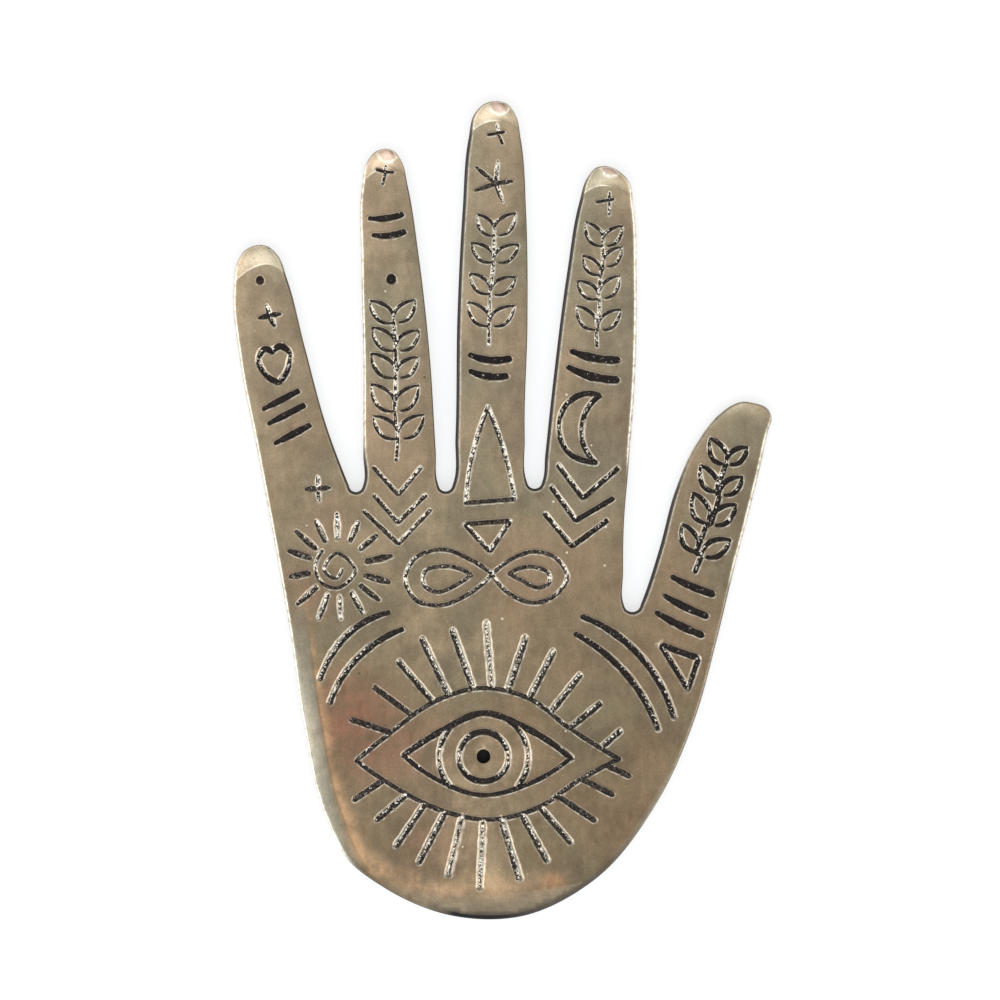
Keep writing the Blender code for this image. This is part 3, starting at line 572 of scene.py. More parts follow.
# Small crosses scratched on three fingertips: the finger, the middle, then the ends of the arms
SCRATCHES = {
    "ring_cross": (RING, (-0.1, 4.3), (0.0, 3.3), (1.3, 4.4), (-0.7, 6.4), (-1.6, 3.8)),
    "middle_cross": (MIDDLE, (0.7, 5.9), (0.5, 4.4), (-1.1, 6.2), (1.7, 5.6), (1.5, 7.7)),
    "index_cross": (INDEX, (1.2, 6.2), (-1.0, 6.7), (1.2, 5.0), (1.9, 6.0), (1.4, 8.8)),
}

# The scooped ends of three fingertips: the finger, the middle and the radius
NAILS = ((RING, (0.5, 0.6), 1.8), (MIDDLE, (0.85, 0.3), 1.95), (INDEX, (1.15, -0.1), 1.9))


def smooth_step(value):
    value = np.clip(value, 0.0, 1.0)
    return value * value * (3 - 2 * value)


def fade(value, start, span):
    """How far a value has come from a start through a span, smoothed, from 0 to 1."""
    return smooth_step((value - start) / span)


def bell(value, middle, width):
    """1 where a value is at the middle, falling off to both sides."""
    return np.exp(-(((value - middle) / width) ** 2))


def lengths(vectors):
    return np.linalg.norm(vectors, axis=-1)


def roughly(points, scale, seed):
    """Smooth noise between about -1 and 1 at points of the plan."""
    return np.array([noise.noise((x / scale, y / scale, seed)) for x, y in points])


def even(points, step, closed=False):
    """A path's points, taken again at even steps."""
    path = np.concatenate([points, points[:1]]) if closed else np.asarray(points, float)
    run = np.concatenate([[0], np.cumsum(lengths(np.diff(path, axis=0)))])
    count = max(2, round(run[-1] / step))
    stops = np.linspace(0, run[-1], count if closed else count + 1, endpoint=not closed)
    return np.stack([np.interp(stops, run, path[:, k]) for k in (0, 1)], axis=1)


def spline(anchors, closed=False):
    """Fine points of a smooth curve through the anchors."""
    anchors = np.array(anchors, float)
    ahead = np.roll(anchors, -1, axis=0) - anchors
    size = np.maximum(lengths(ahead), 1e-9)[:, None]
    back, back_size = np.roll(ahead, 1, axis=0), np.roll(size, 1, axis=0)
    slopes = (back * size / back_size + ahead * back_size / size) / (size + back_size)
    if not closed and len(anchors) == 2:
        slopes[:] = ahead[0] / size[0]
    elif not closed:
        slopes[0] = ahead[0] * 2 / size[0] - slopes[1]
        slopes[-1] = ahead[-2] * 2 / size[-2] - slopes[-2]
    rows = []
    for i in range(len(anchors) if closed else len(anchors) - 1):
        start, end = anchors[i], anchors[(i + 1) % len(anchors)]
        leave = start + slopes[i] * size[i] / 3
        arrive = end - slopes[(i + 1) % len(anchors)] * size[i] / 3
        t = np.linspace(0, 1, LEAST_STEPS + int(size[i, 0] / FINE_STEP), endpoint=False)[:, None]
        rest = 1 - t
        rows.append(rest**3 * start + 3 * rest**2 * t * leave + 3 * rest * t**2 * arrive + t**3 * end)
    return np.concatenate(rows if closed else rows + [anchors[-1:]])


def polar(middle, degrees, radius):
    """The point at an angle and a radius about a middle."""
    turn = math.radians(degrees)
    return np.array(middle) + radius * np.array((math.cos(turn), math.sin(turn)))


def arc(middle, radius, start, end, steps):
    """Points of a circle's arc between two angles in degrees."""
    angles = np.radians(np.linspace(start, end, steps + 1))
    return np.array(middle) + radius * np.stack([np.cos(angles), np.sin(angles)], axis=1)


def circle(middle, radius, steps):
    return arc(middle, radius, 0, 360, steps)[:-1]


def path(home, points, width, closed=False):
    """A stroke of straight runs, in the frame of its finger or of the palm."""
    return Stroke(even([home.at(*p) for p in points], FINE_STEP, closed), width, closed)


def curve(home, points, width, ends=(1.0, 1.0)):
    return Stroke(even(spline([home.at(*p) for p in points]), FINE_STEP), width, False, ends)


def bar(home, start, end, sag):
    """A bar between two ends, trimmed for its round caps, whose middle sags."""
    start, end = np.array(start), np.array(end)
    trim = (end - start) * BAR_END / lengths(end - start)
    points = [start + trim, (start + end) / 2 + np.array((0, sag)), end - trim]
    return [curve(home, points, BAR_WIDTH, BAR_THIN)]


def leaf(home, root, tip):
    """The two edges of a leaf from its root to its tip, one of which stops short of the root."""
    root, tip = home.at(*root), home.at(*tip)
    reach = tip - root
    aside = np.array((-reach[1], reach[0])) * LEAF_FATNESS
    low, high = root + reach * LEAF_LOW, root + reach * LEAF_HIGH
    slim = aside * LEAF_TAPER
    full = [root, low + aside, high + slim, tip]
    short = [root + reach * LEAF_OPEN - aside * LEAF_OPEN_ASIDE, low - aside, high - slim, tip]
    lines = [even(spline(edge), FINE_STEP) for edge in (full, short)]
    return [Stroke(line, LEAF_LINE_WIDTH, False, LEAF_THIN) for line in lines]


def sprig(home, foot, *leaves):
    stem = sorted({root for root, _ in leaves}, key=lambda p: p[1]) + [foot]
    strokes = [path(home, stem, LEAF_LINE_WIDTH)]
    for root, tip in leaves:
        strokes += leaf(home, root, tip)
    return strokes


def lash(tip, root, lid):
    """A straight stroke from its tip to just short of the lid's middle, thinner the flatter it lies."""
    tip, root = PALM.at(*tip), PALM.at(*root)
    root = lid[np.argmin(lengths(lid - root))]
    reach = tip - root
    root = root + reach * LASH_SHORT / lengths(reach)
    width = LASH_WIDTH * (LASH_FLAT + (1 - LASH_FLAT) * abs(reach[1]) / lengths(reach))
    return Stroke(even([tip, root], FINE_STEP), round(width, 1))


def eye_lids():
    left, right = LID_CORNERS
    strokes = []
    for lid, lashes in ((UPPER_LID, UPPER_LASHES), (LOWER_LID, LOWER_LASHES)):
        line = curve(PALM, (left, *lid, right), LID_LINE_WIDTH)
        strokes += [line] + [lash(tip, root, line.points) for tip, root in lashes]
    return strokes


def eye_almond():
    left, right = ALMOND_CORNERS
    halves = ((UPPER_ALMOND, BROW_LINE_WIDTH), (LOWER_ALMOND, LOW_LINE_WIDTH))
    strokes = [curve(PALM, (left, *half, right), width) for half, width in halves]
    arcs = [even(arc(IRIS_MIDDLE, IRIS_RADIUS, a, b, IRIS_STEPS), FINE_STEP) for a, b in IRIS_ARCS]
    return strokes + [Stroke(points, IRIS_LINE_WIDTH) for points in arcs]


def sun_ray(degrees, outer):
    line = even([polar(RAY_MIDDLE, degrees, radius) for radius in (RAY_INNER, outer)], FINE_STEP)
    return [Stroke(line, RAY_GROOVE, False, RAY_THIN)]


def sun_spiral():
    points = [polar(SUN_MIDDLE, *turn) for turn in SUN_SPIRAL]
    return [Stroke(even(spline(points), FINE_STEP), LEAF_LINE_WIDTH)]


def all_signs():
    """Each sign's name with its strokes."""
    signs = {}
    for name, (finger, *bars) in BARS.items():
        for n, one in enumerate(bars, 1):
            signs[f"{name}_bar_{n}"] = bar(finger, *one)
    for name, (finger, *chevrons) in CHEVRONS.items():
        for n, points in enumerate(chevrons, 1):
            signs[f"{name}_chevron_{n}"] = [path(finger, points, LINE_WIDTH)]
    for name, (finger, *corners) in TRIANGLES.items():
        signs[f"{name}_triangle"] = [path(finger, corners, LINE_WIDTH, True)]
    sides = [curve(MIDDLE, (TENT_POINT, *side), LINE_WIDTH) for side in (TENT_LEFT, TENT_RIGHT)]
    signs["middle_tent"] = sides + [path(MIDDLE, (TENT_LEFT[-1], TENT_RIGHT[-1]), LINE_WIDTH)]
    for name, (home, middle, *ends) in STARS.items():
        signs[name] = [curve(home, (middle, end), STAR_WIDTH, STAR_THIN) for end in ends]
    for name, (finger, middle, radius) in DOTS.items():
        signs[name] = [Stroke(finger.at(*middle)[None], 2 * radius * DOT_GROWTH)]
    for name, (finger, foot, *leaves) in SPRIGS.items():
        signs[f"{name}_sprig"] = sprig(finger, foot, *leaves)
    signs["little_heart"] = [curve(LITTLE, half, LINE_WIDTH) for half in (HEART_LEFT, HEART_RIGHT)]
    signs["index_moon"] = [curve(INDEX, half, LINE_WIDTH) for half in (MOON_OUTER, MOON_INNER)]
    signs["sun_spiral"] = sun_spiral()
    for n, ray in enumerate(RAYS, 1):
        signs[f"sun_ray_{n}"] = sun_ray(*ray)
    for name, points in ARCS.items():
        signs[f"{name}_arc"] = [curve(PALM, points, ARC_WIDTH, BAR_THIN)]
    signs["infinity_loops"] = [curve(PALM, (*loop, loop[0]), LINE_WIDTH) for loop in INFINITY_LOOPS]
    for name, points in INFINITY_DROPS.items():
        signs[f"infinity_drop_{name}"] = [curve(PALM, (*points, points[0]), LINE_WIDTH)]
    signs["eye_lids"] = eye_lids()
    signs["eye_almond"] = eye_almond()
    ring = even(circle(IRIS_MIDDLE, PUPIL_RING_RADIUS, 2 * IRIS_STEPS), FINE_STEP, True)
    signs["eye_iris"] = [Stroke(ring, IRIS_LINE_WIDTH, True)]
    for name, (finger, middle, *ends) in SCRATCHES.items():
        signs[name] = [path(finger, (middle, end), SCRATCH_WIDTH) for end in ends]
    for name, strokes in signs.items():
        share = look_of(name).width
        signs[name] = [stroke._replace(width=round(stroke.width * share, 2)) for stroke in strokes]
    return signs


def look_of(name):
    return next((look for start, look in LOOKS.items() if name.startswith(start)), Look())


def hand_outline():
    """The hand's edge in plan, clockwise from the little finger's root."""
    anchors = []
    for finger, notch in zip(FINGERS, NOTCHES + (None,)):
        anchors += [finger.at(-left, down) for down, left, _ in reversed(finger.widths)]
        anchors.append(finger.at(0, 0))
        anchors += [finger.at(right, down) for down, _, right in finger.widths]
        if finger is INDEX:
            anchors += [PALM.at(*p) for p in INDEX_EDGE]
        if notch:
            x, y, radius = notch
            anchors += list(arc((x, y), radius, 180, 360, NOTCH_STEPS))
    anchors += [PALM.at(*p) for p in PALM_EDGE]
    loop = even(spline(anchors, True), OUTLINE_STEP, True)
    return loop + inward(loop) * EDGE_INSET


def inward(loop):
    """The normals of a clockwise loop, into it."""
    along = np.roll(loop, -1, axis=0) - np.roll(loop, 1, axis=0)
    along /= lengths(along)[:, None]
    return np.stack([along[:, 1], -along[:, 0]], axis=1)


def tree_of(points):
    tree = KDTree(len(points))
    for i, (x, y) in enumerate(points):
        tree.insert((x, y, 0), i)
    tree.balance()
    return tree


class Edge:
    """The hand's edge: how far points lie inside it, and at each of its points how much it lies on a
    fingertip and faces the heel's end, how bright its painted highlight is, how much painted shade it has,
    and its brow's width."""

    def __init__(self):
        self.loop = hand_outline()
        self.normals = inward(self.loop)
        self.tree = tree_of(self.loop)
        self.low, self.high = self.loop.min(axis=0), self.loop.max(axis=0)
        self.middle = (self.low + self.high) / 2
        facing = np.zeros(len(self.loop))
        for reach in GAP_REACHES:
            facing = np.maximum(facing, self.inset(self.loop - self.normals * reach) > GAP_CLEAR)
        right, up = -self.normals.T
        # Painted highlights on the edges, none where another edge lies within reach
        bright = np.where(right < 0, *HIGHLIGHT_PALM) * (1 - facing)
        tip = np.zeros(len(self.loop))
        for finger, (at_left, at_right, run) in zip(FINGERS, HIGHLIGHT_EDGES):
            across, down = finger.local(self.loop)
            at_left = at_left * (1 - fade(down, run, HIGHLIGHT_SPAN))
            here = np.abs(across) < finger.half(across, down) + FINGER_MARGIN
            here &= down < finger.widths[-1][0]
            bright = np.where(here, np.where(across < 0, at_left, at_right), bright)
            tip = np.where(here & (down < TIP_BAND), 1, tip)
        self.tip = self.blurred(tip)
        self.heel = fade(-up, *HEEL_FADE)
        self.rubbed = self.blurred(bright * (1 - tip)) * (1 - self.heel)
        # Painted shade on the edges without a highlight that face right or up
        shade_sides = np.maximum(1 - 2 * bright, 0) * (1 - tip)
        self.in_shade = self.blurred(shade_sides * fade(np.maximum(-right, up), *SHADE_SIDE_FADE))
        dull, at_left, at_right = BROW_WIDTHS
        outer = np.where(right > 0, at_right, at_left) - dull
        self.brow = self.blurred(dull + outer * smooth_step(2 * self.rubbed) + SHADE_SIDE_BROW * self.in_shade)

    def blurred(self, values):
        return sum(np.roll(values, i) for i in range(-BLUR, BLUR + 1)) / (2 * BLUR + 1)

    def nearest(self, points):
        return np.array([self.tree.find((x, y, 0))[1] for x, y in points])

    def inset(self, points):
        nearest = self.nearest(points)
        return np.sum((points - self.loop[nearest]) * self.normals[nearest], axis=1)

    def room(self, points):
        """How far points lie inside the brow's crease."""
        return self.inset(points) - self.brow[self.nearest(points)]

    def ring(self, inset):
        return self.loop + self.normals * np.broadcast_to(inset, len(self.loop))[:, None]

    def field(self, step):
        """Points set in triangles all over the hand's box."""
        across = np.arange(self.low[0], self.high[0], step)
        rows = []
        for i, y in enumerate(np.arange(self.low[1], self.high[1], step * HEXAGON_HEIGHT)):
            rows.append(np.stack([across + step / 2 * (i % 2), np.full(len(across), y)], axis=1))
        return np.concatenate(rows)


class Near(NamedTuple):
    """Where points lie by the nearest groove: how far outside its rim, its half-width and its sign's index,
    the way out from its middle line, and the way along it."""

    edge: np.ndarray
    half: np.ndarray
    sign: np.ndarray
    out: np.ndarray
    along: np.ndarray


def headings(line, closed=False):
    """The way along a line at each of its points."""
    if len(line) == 1:
        return np.array([[1.0, 0.0]])
    along = np.roll(line, -1, axis=0) - np.roll(line, 1, axis=0) if closed else np.gradient(line, axis=0)
    return along / np.maximum(lengths(along), 1e-9)[:, None]


class Grooves:
    """The strokes of all signs, by their width, for finding how far points lie outside their rims."""

    def __init__(self, signs):
        self.names = list(signs)
        self.sets = {}
        for index, strokes in enumerate(signs.values()):
            for stroke in strokes:
                self.sets.setdefault(stroke.width, []).append((stroke, index))
        self.trees = []
        for found in self.sets.values():
            points = np.concatenate([stroke.points for stroke, _ in found])
            half = np.concatenate([self.half(stroke.points, stroke) for stroke, _ in found])
            index = np.concatenate([np.full(len(stroke.points), i) for stroke, i in found])
            along = np.concatenate([headings(stroke.points, stroke.closed) for stroke, _ in found])
            self.trees.append((tree_of(points), half, index, points, along))

    def half(self, line, stroke):
        """A stroke's half-width along it, which thins to its ends and wavers as hand cutting does."""
        waver = roughly(line, *WOBBLE_NOISE) + WOBBLE_FINE * roughly(line, *WOBBLE_FINE_NOISE)
        run = np.linspace(0, 1, len(line))
        start, end = stroke.ends
        thin = start + (1 - start) * smooth_step(run / END_REACH)
        thin *= end + (1 - end) * smooth_step((1 - run) / END_REACH)
        return stroke.width / 2 * thin * (1 + GROOVE_WOBBLE * waver)

    def measure(self, points):
        count = len(points)
        near = Near(np.full(count, FAR), np.ones(count), np.zeros(count, int), *np.zeros((2, count, 2)))
        for tree, halves, index, line, along in self.trees:
            found = [tree.find((x, y, 0)) for x, y in points]
            nearest = np.array([f[1] for f in found])
            away = np.array([f[2] for f in found])
            outside = away - halves[nearest]
            out = (points - line[nearest]) / np.maximum(away, 1e-6)[:, None]
            closer = outside < near.edge
            news = (outside, halves[nearest], index[nearest], out, along[nearest])
            for kept, new in zip(near, news):
                kept[closer] = new[closer]
        return near

    def rows(self):
        """Points in rows along the strokes and in fans round their ends, where the meshes need them."""
        made = []
        for width, found in self.sets.items():
            for stroke, _ in found:
                made += self.stroke_rows(stroke, width)
        return np.concatenate(made)

    def stroke_rows(self, stroke, width):
        least, more = DOT_STEPS
        if len(stroke.points) == 1:
            rings = [width / 2 + e for e in ROW_EDGES]
            return [stroke.points] + [circle(stroke.points[0], r, least + int(r * more)) for r in rings]
        line = even(stroke.points, ROW_STEP, stroke.closed)
        along = headings(line, stroke.closed)
        aside = np.stack([-along[:, 1], along[:, 0]], axis=1)
        half = self.half(line, stroke)[:, None]
        made = [line]
        for e in ROW_EDGES:
            if width / 2 + e < ROW_LEAST:
                continue
            made += [line + aside * (half + e), line - aside * (half + e)]
            if not stroke.closed:
                made.append(self.fan(line[0], -along[0], half[0, 0] + e))
                made.append(self.fan(line[-1], along[-1], half[-1, 0] + e))
        return made

    def fan(self, end, out, radius):
        """Points round a stroke's end."""
        angle = math.degrees(math.atan2(out[1], out[0]))
        least, more = FAN_STEPS
        return arc(end, radius, angle - FAN_ANGLE, angle + FAN_ANGLE, least + int(radius * more))


def groove_depth(edge):
    """How deep a groove is, from the distance outside its rim: a rounded rim, then a straight wall."""
    reach = np.clip(RIM_OUT - edge, 0, None)
    knee = WALL_SLOPE / RIM_BEND
    wall = RIM_BEND / 2 * knee**2 + WALL_SLOPE * (reach - knee)
    return np.minimum(np.where(reach < knee, RIM_BEND / 2 * reach**2, wall), GROOVE_DEPTH)


def hole_depth(points):
    """How far the stick hole's lip drops."""
    lip = np.clip(HOLE_RADIUS + HOLE_LIP - lengths(points - np.array(IRIS_MIDDLE)), 0, HOLE_LIP)
    return lip**2 / HOLE_LIP


def tip_crease(share):
    """How far down a finger its tip's crease lies, by the share of the way to the finger's side."""
    return TIP_BAND + TIP_BOW * share**2


def tip_share(points):
    """How far points lie up a fingertip's curl, from 0 at the crease to 1 at the tip, the finger's curl, and
    how soft its crease is, which on fingers with a scooped tip fades to the right."""
    share, curl, soft = np.zeros((3, len(points)))
    for finger in FINGERS:
        across, down = finger.local(points)
        half = finger.tip_half(across)
        crease = tip_crease(across / half)
        here = (np.abs(across) < TIP_REACH * half) & (down > -TIP_BAND) & (down < crease)
        share[here] = ((crease - down) / TIP_BAND)[here]
        curl[here] = finger.curl
        if finger in (RING, MIDDLE, INDEX):
            soft[here] = fade(across / half, *TIP_SOFT_FADE)[here]
    return share, curl, soft


def tip_marks(points):
    """The painted highlight line along each fingertip's crease, which fades to the right, and how far right
    on a tip points lie, for the painted shade there."""
    line, right = np.zeros((2, len(points)))
    for finger in FINGERS:
        across, down = finger.local(points)
        share = across / finger.tip_half(across)
        above = tip_crease(share) - down
        here = (np.abs(share) < TIP_REACH) & (above > -TIP_MARGIN) & (down > -TIP_BAND) & (finger.curl == 1)
        line = np.where(here, bell(above, *TIP_LINE_BELL) * (1 - fade(share, *TIP_SOFT_FADE)), line)
        shade = LITTLE_TIP_SHADE if finger is LITTLE else 1.0
        right = np.where(here, shade * fade(share, *TIP_SHADE_FADE) * fade(above, *TIP_RISE_FADE), right)
    return line, right


def nail_share(points):
    """How far points lie into a scooped fingertip: 0 on its rim, 1 in its middle, and below 0 outside."""
    share = np.full(len(points), NO_NAIL)
    for finger, middle, radius in NAILS:
        share = np.maximum(share, 1 - lengths(points - finger.at(*middle)) / radius)
    return share


def finger_shade(points):
    """How shaded points lie across a finger, from 0 on its left and below its tip to 1 on its right."""
    shade = np.full(len(points), PLAIN_SHADE)
    by_share, by_cube = SIDE_SHADES
    for finger in FINGERS:
        across, down = finger.local(points)
        share = np.clip(across / finger.half(across, down), -SIDE_REACH, SIDE_REACH)
        here = (np.abs(share) < SIDE_REACH) & (down > -TIP_MARGIN) & (down < finger.length)
        glow = finger.curl * np.exp(-np.maximum(down - tip_crease(share), 0) / TIP_GLOW)
        side = by_share * share + by_cube * share**3
        value = (side - TIP_LIGHT * glow) * smooth_step((finger.length - down) / ROOT_SPAN)
        shade = np.where(here, PLAIN_SHADE + value, shade)
    return np.clip(shade, 0, 1)


def rim_shade(points, inset):
    """How much darker the heel's rim is on the left at its inner edge than at its outer one."""
    share = inset / rim_width(points)
    left = np.interp(points[:, 0], RIM_SHADE_PLACES, (1.0, 0.0)) * rim_weight(points)
    outer, more = RIM_SHADES
    return left * np.where(share < 1, more * share + outer, 0)


def rim_width(points):
    return np.interp(points[:, 0], RIM_PLACES, RIM_WIDTHS)


def rim_weight(points):
    """How much of the heel's rim there is, from the fingers down."""
    start = np.where(points[:, 0] < HEEL_MIDDLE, HEEL_START_LEFT, HEEL_START_RIGHT)
    return smooth_step((start - points[:, 1]) / HEEL_SPAN)


def rim_lift(points, inset):
    """How far the heel's rim raises the plate."""
    width = rim_width(points)
    band = np.clip(1 - inset / width, 0, 1)
    rise = RIM_HEIGHT + RIM_HEIGHT_SHARE * width
    return rim_weight(points) * rise * (RIM_STEEP * band + (1 - RIM_STEEP) * band**2)


def rim_rows():
    """Points in rows along the inner edge of the heel's rim, each found in a few rounds."""
    made = []
    for aside in RIM_ROWS:
        row = EDGE.loop
        for _ in range(RIM_ROUNDS):
            row = EDGE.ring(rim_width(row) + aside)
        made.append(row[rim_weight(row) > 0])
    return np.concatenate(made)


def tip_rows():
    """Points in rows along each fingertip's crease."""
    made = []
    for finger in FINGERS:
        reach = TIP_ROWS_REACH * max(finger.widths[TIP_WIDTHS][1:])
        for across in np.arange(-reach, reach, TIP_STEP_SIZE / 2):
            crease = tip_crease(across / finger.tip_half(across))
            made += [finger.at(across, crease - up) for up in TIP_ROWS]
    return np.array(made)


def lift(points, inset):
    """How far the curled tips and the heel's rim raise the plate."""
    share, curl, soft = tip_share(points)
    crease = TIP_STEP * smooth_step(share / TIP_STEP_SHARE) + TIP_SLOPE * share
    crease += soft * (TIP_SLOPE * share**2 - crease)
    return crease * curl**3 + TIP_CURL * curl * share**2 + rim_lift(points, inset)


def dents(points):
    """How far the upper face dips by the unevenness of the casting and the scooped fingertips."""
    scoop = np.clip(nail_share(points), 0, 1)
    return UNEVEN * (1 - roughly(points, *UNEVEN_NOISE)) + NAIL_SCOOP * scoop * (2 - scoop)


def thinned(groups, gap):
    """The points of the groups in order, without those that lie too near an earlier one."""
    taken = {}
    kept = []
    for group in groups:
        for x, y in group:
            cx, cy = math.floor(x / gap), math.floor(y / gap)
            near = (taken.get((cx + i, cy + j)) for i in (-1, 0, 1) for j in (-1, 0, 1))
            if any(p and (p[0] - x) ** 2 + (p[1] - y) ** 2 < gap * gap for p in near):
                continue
            taken[cx, cy] = (x, y)
            kept.append((x, y))
    return np.array(kept)


def fill_loop(loop, rings, inner):
    """Triangles between a clockwise loop and the rings in it, over the inner points as well."""
    edges = []
    start = len(loop)
    for ring in rings:
        chain = list(range(start, start + len(ring)))
        edges += list(zip(chain, chain[1:] + chain[:1]))
        start += len(ring)
    points = np.concatenate([loop] + rings + [inner])
    turn_back = list(reversed(range(len(loop))))
    flat = [Vector(p) for p in points]
    made, _, triangles, _, _, faces_of = delaunay_2d_cdt(flat, edges, [turn_back], 0, SAME_POINT)
    assert len(made) == len(points), "points fell together"
    return points, np.array([t for t, inside in zip(triangles, faces_of) if inside])


def face_points():
    """Points of the engraved face: along the strokes, close on the tips and the heel, and wide elsewhere."""
    close = EDGE.field(TIP_STEP_SIZE)
    share, curl, _ = tip_share(close)
    close = close[share * curl > 0]
    heel = EDGE.field(HEEL_STEP_SIZE)
    heel = heel[(rim_weight(heel) > 0) & (EDGE.inset(heel) < rim_width(heel) + HEEL_MARGIN)]
    kinds = (GROOVES.rows(), tip_rows(), rim_rows(), close, heel, EDGE.field(FACE_STEP))
    groups = [EDGE.ring(EDGE.brow + ring) for ring in BROW_RINGS]
    for points, (from_brow, from_grooves) in zip(kinds, CLEARANCES):
        points = points[EDGE.room(points) > from_brow]
        if from_grooves:
            points = points[GROOVES.measure(points).edge > from_grooves]
        groups.append(points)
    kept = thinned(groups, POINT_GAP)
    return kept[lengths(kept - np.array(IRIS_MIDDLE)) > HOLE_RADIUS + HOLE_LIP + HOLE_CLEAR]


def new_piece(name, vertices, faces, material, **layers):
    """A smooth piece from points in millimetres on the plan, whose middle becomes the origin."""
    mesh = bpy.data.meshes.new(name)
    shift = np.array((*EDGE.middle, 0))
    mesh.from_pydata(((np.asarray(vertices) - shift) * MM).tolist(), [], faces)
    mesh.polygons.foreach_set("use_smooth", [True] * len(mesh.polygons))
    for layer_name, values in layers.items():
        layer = mesh.attributes.new(layer_name, "FLOAT_COLOR", "POINT")
        layer.data.foreach_set("color", np.column_stack([values, np.ones(len(values))]).ravel())
    mesh.materials.append(material)
    mesh.update()
    piece = bpy.data.objects.new(name, mesh)
    bpy.context.scene.collection.objects.link(piece)
    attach(piece, "root")
    return piece


def upward(near):
    """The way across grooves that points up the hand."""
    up = np.stack([-near.along[:, 1], near.along[:, 0]], axis=1)
    return up * np.where(up[:, 1] < 0, -1, 1)[:, None]


def steepness(near):
    """How steeply grooves run up the hand, less on signs whose lacquer was wiped less."""
    wiped = np.array([look_of(name).wiped for name in GROOVES.names])[near.sign]
    return wiped * fade(np.abs(upward(near)[:, 0]), *STEEP_FADE)


def rim_highlights(points, near):
    """The painted highlight on a groove's rim, more on its lower right than on its upper left and in
    patches, and on the bare walls of steep grooves."""
    least, more = FACING_HIGHLIGHT
    facing = smooth_step(least + more * near.out @ np.array(HIGHLIGHT_SIDE))
    least, more = PATCH_HIGHLIGHT
    patches = smooth_step(least + more * roughly(points, *PATCH_NOISE))
    rim = bell(near.edge, *RIM_BELL) * facing * patches
    return np.maximum(rim, fade(-near.edge, *WALL_FADE) * steepness(near) * WALL_HIGHLIGHT)


def groove_rim_shades(near):
    """Painted shade along the grooves' rims, faint all round and most on the upper rims of grooves across
    the hand.
    """
    upper = smooth_step(2 * near.out[:, 1]) * (1 - steepness(near))
    return bell(near.edge, *GROOVE_RIM_SHADE_BELL) * (GROOVE_RIM_SHADE + (1 - GROOVE_RIM_SHADE) * upper)


def zones(points, inset):
    """The heel's rim, the painted glow inside it, and the scooped fingertips with their painted pink
    reflection, as colour zones.
    """
    width = rim_width(points)
    weight = rim_weight(points)
    reach = np.interp(points[:, 0], GLOW_PLACES, GLOW_REACHES)
    glow = np.interp(points[:, 0], GLOW_PLACES, GLOW_STRENGTHS)
    glow = glow * weight * bell(inset - width, GLOW_OFFSET, reach)
    pink_reflection = fade(nail_share(points), *PINK_REFLECTION_FADE)
    return np.column_stack([weight * smooth_step((width - inset) / RIM_SHARP), glow, pink_reflection])


def heel_line(points, inset):
    """The painted shade line along the heel's lowest edge."""
    strength = np.interp(points[:, 0], LINE_PLACES, LINE_STRENGTHS) * rim_weight(points)
    return strength * smooth_step((HEEL_LINE_WIDTH - inset) / HEEL_LINE_SOFT)


def columns(count, *values):
    """Values for each point or for all of them, side by side."""
    return np.column_stack([np.broadcast_to(value, count) for value in values])


class Skin:
    """The hand's skin as it grows: its vertices with their colour layers, and its faces."""

    def __init__(self):
        self.vertices = []
        self.layers = {"highlight_and_shade": [], "zones": [], "shades": []}
        self.faces = []

    def add(self, points, height, rubbed=0.0, soot=0.0, inset=None, side_shade=0.0, stain=0.0):
        """Adds vertices, and returns where they start."""
        start = sum(map(len, self.vertices))
        inset = EDGE.inset(points) if inset is None else inset
        # Painted highlight along the tips' creases, painted shade along the heel's lowest edge and across
        # fingers
        line, right = tip_marks(points)
        rubbed = np.maximum(rubbed, TIP_LINE_HIGHLIGHT * line)
        soot = np.maximum(soot, heel_line(points, inset))
        shaded = np.clip(finger_shade(points) + rim_shade(points, inset), 0, 1)
        count = len(points)
        self.vertices.append(np.column_stack([points, columns(count, height)]))
        self.layers["highlight_and_shade"].append(columns(count, rubbed, soot, side_shade))
        self.layers["zones"].append(zones(points, inset))
        self.layers["shades"].append(columns(count, right, stain, shaded))
        return start

    def band(self, low, high, count):
        """Adds quads between two rings, from their first vertices."""
        for i in range(count):
            following = (i + 1) % count
            self.faces.append((low + following, low + i, high + i, high + following))

    def fill(self, triangles, ring, inner):
        """Adds triangles, from the first vertices of the ring round them and of the points in it."""
        count = len(EDGE.loop)
        self.faces += np.where(triangles < count, triangles + ring, triangles - count + inner).tolist()


def side_profile():
    """The side's rings from the foot to the brow's crease: their inset, height, share of the face's dents,
    painted highlight, and share of painted shade."""
    still = np.zeros(len(EDGE.loop))
    for a in np.linspace(0, math.pi / 2, FOOT_STEPS + 1):
        yield still + FOOT_ROUND * (1 - math.sin(a)), FOOT_ROUND * (1 - math.cos(a)), 0.0, still, 1.0
    turn = math.radians(BROW_TURN)
    radius = EDGE.brow / (1 - math.cos(turn))
    for a in np.linspace(0, turn, BROW_STEPS + 1):
        share = a / turn
        height = PLATE_THICKNESS - radius * (math.sin(turn) - math.sin(a))
        rubbed = EDGE_HIGHLIGHT + (CREASE_HIGHLIGHT - EDGE_HIGHLIGHT) * share**CREASE_POWER
        rubbed = rubbed * EDGE.rubbed + SHADE_SIDE_CREASE * EDGE.in_shade * share**SHADE_SIDE_POWER
        rubbed = rubbed + TIP_EDGE * EDGE.tip * (1 - share**TIP_POWER)
        yield radius * (1 - math.cos(a)), height, share**DENT_POWER, rubbed, 1 - share**SIDE_SHADE_POWER


